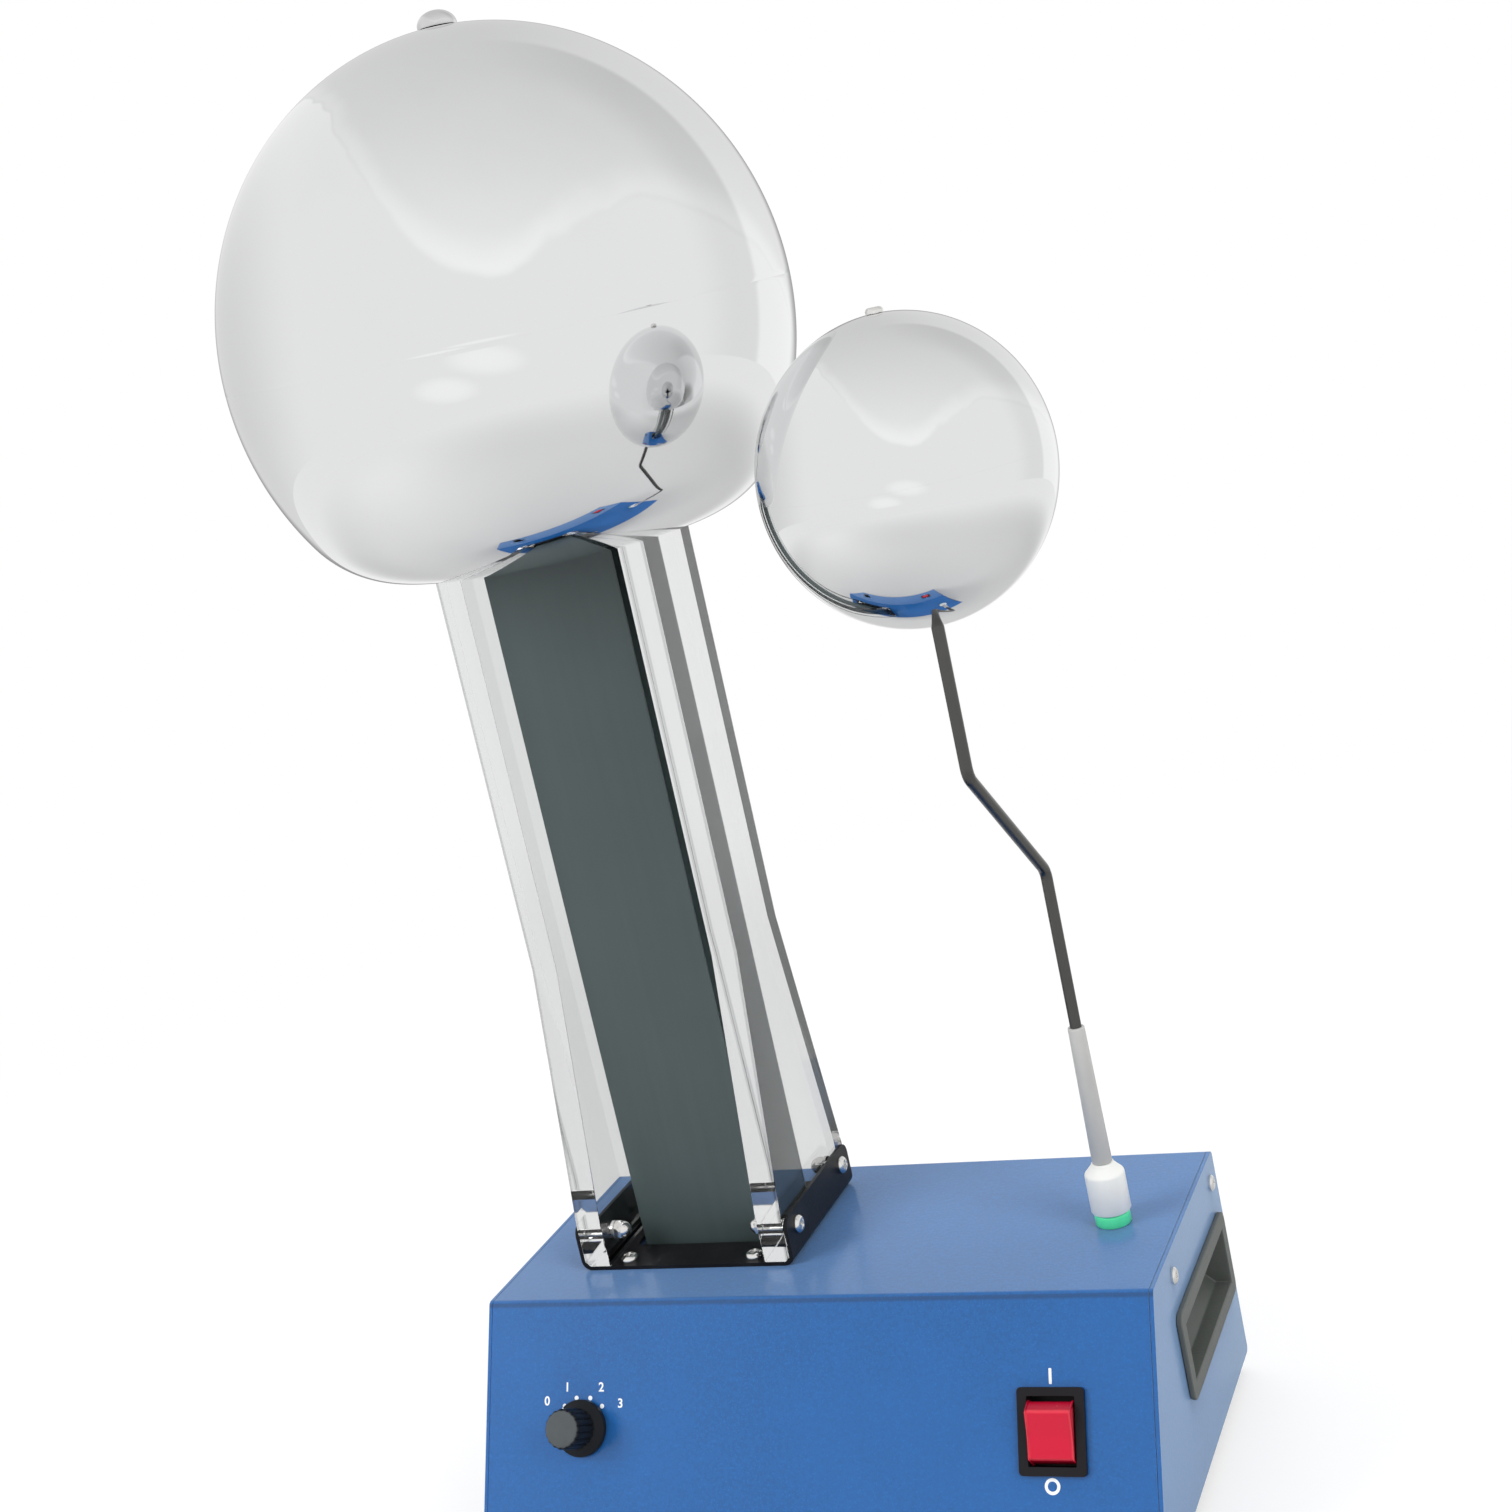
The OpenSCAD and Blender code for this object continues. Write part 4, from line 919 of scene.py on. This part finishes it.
marks = {
    "dotR": 11.8, "dotAt": (135, 105, 75, 45), "dotSize": 0.9,
    "barAt": (98.1, -29.6), "barSize": (1.1, 5.6, 0.3), "ringAt": (97.5, -67.7), "ringR": (2.9, 1.75),
    "numbers": {"0": (-109.7, -38.7), "1": (-100.7, -33.4), "2": (-85.5, -33.4), "3": (-77.0, -39.5)},
    "numberHeight": 3.4, "heightShare": 0.7, "bold": 0.1, "lift": 0.02, "thick": 0.04,
}


def printPatch(outline):
    # A closed outline on the panel, as thin as print
    low = lifted(outline, marks["lift"])
    return place(closedLoft(np.stack([low, low + marks["thick"] * alongZ])), onPanel(0, 0), **panelAxes)


def buildMarks():
    at = onPanel(0, 0)
    c = np.radians(marks["dotAt"])
    dots = layout["knob"] + marks["dotR"] * np.stack([np.cos(c), np.sin(c)], axis=-1)
    grids = [printPatch(arcPoints(dot, marks["dotSize"], 0, 360, 24)) for dot in dots]
    grids.append(printPatch(roundedLoop(*marks["barSize"], 4) + marks["barAt"]))
    outer, inner = (lifted(arcPoints(marks["ringAt"], r, 0, 360, 48), marks["lift"])
                    for r in marks["ringR"])
    up = marks["thick"] * alongZ
    grids.append(place(np.stack([inner, outer, outer + up, inner + up, inner]), at, **panelAxes))
    addPiece("panelMarks", grids, "base", finishes["printWhite"])
    for text, (x, y) in marks["numbers"].items():
        curve = bpy.data.curves.new("number" + text, "FONT")
        curve.body, curve.size = text, marks["numberHeight"] / marks["heightShare"] / 1000
        curve.align_x, curve.align_y = "CENTER", "CENTER"
        curve.extrude, curve.offset = marks["thick"] / 2000, marks["bold"] / 1000
        drawn = bpy.data.objects.new("drawn" + text, curve)
        bpy.context.scene.collection.objects.link(drawn)
        bpy.context.view_layer.update()
        mesh = bpy.data.meshes.new_from_object(drawn.evaluated_get(bpy.context.evaluated_depsgraph_get()))
        bpy.data.objects.remove(drawn)
        local = np.empty(len(mesh.vertices) * 3)
        mesh.vertices.foreach_get("co", local)
        local = local.reshape(-1, 3) * 1000 + [x, y, marks["lift"] + marks["thick"] / 2]
        mesh.vertices.foreach_set("co", place(local, at, **panelAxes).ravel())
        mesh.update()
        finishPiece("dialNumber" + text, mesh, "base", finishes["printWhite"], (), 30)
    print("panel marks built")


# ---- pieces that keep their CAD shape, with broken edges ----

kept = {  # finish, and how wide its edges are broken in millimetres
    "case_cover": ("caseEnamel", 0.0), "side_panel_left": ("caseEnamel", 0.25),
    "side_panel_right": ("caseEnamel", 0.25), "bottom_plate": ("zincSheet", 0.0),
    "rubber_feet": ("footRubber", 0.3), "foot_screws": ("brightNickel", 0.0),
    "carry_handle_left": ("handlePlastic", 0.5), "carry_handle_right": ("handlePlastic", 0.5),
    "power_inlet": ("blackPlastic", 0.25), "inlet_pins": ("brightNickel", 0.2),
    "speed_switch": ("blackPlastic", 0.2), "switch_nut": ("brightNickel", 0.2),
    "speed_spindle": ("groundSteel", 0.2), "rocker_housing": ("blackPlastic", 0.3),
    "base_bracket": ("blackEnamel", 0.3), "plate_left": ("clearAcrylic", 0.35),
    "plate_right": ("clearAcrylic", 0.35), "upper_roller": ("rollerWhite", 0.2),
    "upper_bearings": ("groundSteel", 0.2), "upper_axle": ("groundSteel", 0.3),
    "axle_spacers": ("whiteNylon", 0.1), "axle_nuts": ("brightNickel", 0.3),
    "dome_seat": ("seatAluminium", 0.2), "comb_bracket": ("seatAluminium", 0.1),
    "upper_comb": ("combBrass", 0.0), "drive_frame": ("zincSheet", 0.2),
    "motor": ("motorShell", 0.3), "motor_screws": ("brightNickel", 0.0),
    "drive_shaft": ("groundSteel", 0.3), "lower_roller": ("rollerDark", 0.2),
    "shaft_bearing": ("groundSteel", 0.2), "lower_comb_bracket": ("seatAluminium", 0.1),
    "lower_comb": ("combBrass", 0.0), "control_board": ("boardGreen", 0.15),
    "board_parts": ("boardParts", 0.3), "board_standoffs": ("whiteNylon", 0.2),
    "finial_nut": ("brightNickel", 0.2), "socket_contact": ("combBrass", 0.1),
    "socket_nut": ("brightNickel", 0.3), "plug_spring": ("combBrass", 0.0),
}


def dressKept():
    for node, (finish, bevel) in kept.items():
        smoothNode(node, finish, bevel)
    print("kept shapes dressed:", len(kept))


# ---- studio ----

studio = {
    "paperNear": 0.55, "paperFar": 1.1,        # metres over which the paper melts into white
    "paperRim": 0.4, "paperRings": 12, "paperAround": 96,
    "paperSeen": 0.93, "paperGlow": 0.6, "paperMirrored": 0.55, "paperElse": 0.80,
    "fill": 0.50, "tent": 0.94,
    # The camera and its own axes, from the photograph's lines
    "camera": (0.3596, -0.7795, 0.4862), "lens": 54.36, "film": 36.0,
    "right": (0.90973, 0.35716, -0.21175),
    "up": (0.1116, 0.28089, 0.95323),
    "back": (0.39993, -0.89081, 0.21567),
    "lamps": [  # name, place, aimed at, size, watts
        ("keyLamp", (-0.80, -0.75, 0.80), (0, 0, 0.12), (0.6, 0.6), 9.0),
        ("sideLamp", (1.6, -0.9, 1.1), (0, 0, 0.25), (1.0, 1.6), 20.0),
        ("topLamp", (0.1, 0.5, 2.3), (0, 0, 0.2), (2.0, 1.4), 28.0),
    ],
}


tent = {  # lengths in radii of the mirroring ball; in threes: how much, and from where to where it sets in
    "waveScale": 2.6, "wave": 0.12, "edgeWave": 0.06,
    "lobeAt": -0.035, "bow": 2.1, "rightWall": 0.33, "leftWall": 6.0,
    "edge": 0.075, "edgeSoft": 0.012, "roof": 0.076, "roofFall": 0.35,
    "glow": 0.076, "glowFrom": (-0.01, 0.03), "glowTo": (0.03, 0.16),
    "leftDull": (0.19, 0.64, 0.97), "lowDull": (0.105, 0.35, 0.75),
    "slant": 0.35, "rightSide": (0.1, 0.6), "rightDull": (0.08, 0.66, 0.80), "strip": (0.165, 0.855, 0.875),
    "lamps": [(-0.03, -0.17, 0.16), (-0.17, -0.26, 0.13)], "lampFlat": 0.35, "lampGain": 0.10,
    "rim": (0.42, 0.970, 0.992),
}


def tentLight(web):
    # What a mirror ball shows of the tent: across and up are the place on the ball of each direction,
    # found from the direction halfway between it and the camera
    t = tent
    way = web.node("TexCoord", out="Generated")
    both = web.node("VectorMath", i0=way, i1=studio["back"])
    half = web.node("VectorMath", {"operation": "NORMALIZE"}, i0=both)
    across, up = web.dot(half, studio["right"]), web.dot(half, studio["up"])
    out = (across * across + up * up) ** 0.5
    wave = web.node("TexNoise", Vector=way, Scale=t["waveScale"], Detail=2.0) - 0.5

    def share(value, much, low, high):
        return much * value.step(low, high)

    # The dark roof hangs down in a rounded lobe, steeper on the left than on the right
    bend = across - t["lobeAt"] + t["wave"] * wave
    bowl = t["bow"] * bend * bend
    wall = t["rightWall"] + t["leftWall"] * (-bend).larger(0.0)
    edge = t["edge"] + t["edgeWave"] * wave + bowl * wall / (bowl ** 3 + wall ** 3) ** (1 / 3)
    over = up - edge
    roof = over.step(-t["edgeSoft"], t["edgeSoft"])
    glow = over.step(*t["glowFrom"]) * (1 - over.step(*t["glowTo"]))
    light = studio["tent"] + (t["roof"] - t["roofFall"] * up.larger(0.0)) * roof + t["glow"] * glow
    # Duller to the left and low down, and a paler strip along the right
    light = light - share(-across, *t["leftDull"]) - share(-up, *t["lowDull"])
    turn = (across + t["slant"] * up).step(*t["rightSide"])
    light = light - share(out, *t["rightDull"]) * turn + share(out, *t["strip"]) * turn
    # Two soft lamps low in front of the tent
    for x, y, wide in t["lamps"]:
        dx, dy = (across - x) / wide, (up - y) / (t["lampFlat"] * wide)
        light = light + t["lampGain"] * (1 - (dx * dx + dy * dy).step(0.0, 1.0))
    return light - share(out, *t["rim"])


def standing(at, x, y, z):
    # The place of an object at a point, with its own axes along x, y and z
    turn = np.stack([x, y, z], axis=1)
    return Matrix([(*row, at[i]) for i, row in enumerate(turn)] + [(0, 0, 0, 1)])


def buildStudio():
    scene = bpy.context.scene
    k = studio
    # A sheet of paper as a flat disc, whose rim melts into the white round it. What the camera sees
    # itself or through clear plastic is paler than what lights the object or shows in its mirrors
    a = np.linspace(0, 2 * np.pi, k["paperAround"] + 1)
    rings = np.linspace(0, k["paperFar"] + k["paperRim"], k["paperRings"])[:, None]
    disc = np.stack([rings * np.cos(a), rings * np.sin(a), 0 * rings * a], axis=-1)
    paper = Finish("palePaper", (0.9, 0.9, 0.9), 0.9)
    floor = addPiece("floor", [disc], None, paper.material, outward=False)
    mirrored = paper.ray("Glossy")
    clear = paper.ray("Camera").larger(paper.ray("Transmission"))
    pale = k["paperElse"] + (k["paperMirrored"] - k["paperElse"]) * mirrored
    pale = pale + (k["paperSeen"] - k["paperElse"]) * clear
    paper.set("Base Color", paper.node("CombineColor", i0=pale, i1=pale, i2=pale))
    away = paper.node("VectorMath", {"operation": "LENGTH"}, out="Value", i0=paper.place())
    glow = k["fill"] * (1 - clear) + clear + (k["tent"] - k["fill"]) * mirrored * (1 - clear)
    white = paper.node("Emission", Strength=glow)
    far = away.step(k["paperNear"], k["paperFar"])
    paper.mixShaders(far + k["paperGlow"] * clear * (1 - far), paper.shader.outputs[0], white)
    # The light tent: even for the lamps' fill, and with its lobe and strips in mirrors
    world = bpy.data.worlds.new("studioWorld")
    world.use_nodes = True
    scene.world = world
    sky = Web(world.node_tree)
    mirrored = sky.ray("Glossy")
    clear = sky.ray("Camera").larger(sky.ray("Transmission"))
    strength = (k["fill"] * (1 - mirrored) + tentLight(sky) * mirrored) * (1 - clear) + clear
    back = sky.tree.nodes["Background"]
    back.inputs["Color"].default_value = (1, 1, 1, 1)
    sky.tree.links.new(strength.out, back.inputs["Strength"])
    for name, at, aim, size, watts in k["lamps"]:
        data = bpy.data.lights.new(name, "AREA")
        data.energy, data.shape = watts, "RECTANGLE"
        data.size, data.size_y = size
        lamp = bpy.data.objects.new(name, data)
        lamp.visible_glossy = False
        scene.collection.objects.link(lamp)
        z = np.array(at) - np.array(aim)
        z /= np.linalg.norm(z)
        x = np.cross(alongZ, z)
        x /= np.linalg.norm(x)
        lamp.matrix_world = standing(at, x, np.cross(z, x), z)
    camera = bpy.data.objects.new("camera", bpy.data.cameras.new("camera"))
    scene.collection.objects.link(camera)
    camera.data.lens, camera.data.sensor_width = k["lens"], k["film"]
    camera.matrix_world = standing(k["camera"], k["right"], k["up"], k["back"])
    scene.camera = camera
    scene.view_settings.view_transform = "Standard"
    print("studio set")


finishes = makeFinishes()
buildDome()
buildBall()
buildPlug()
buildBelt()
buildScrews()
buildKnob()
buildRocker()
buildMarks()
dressKept()
buildStudio()
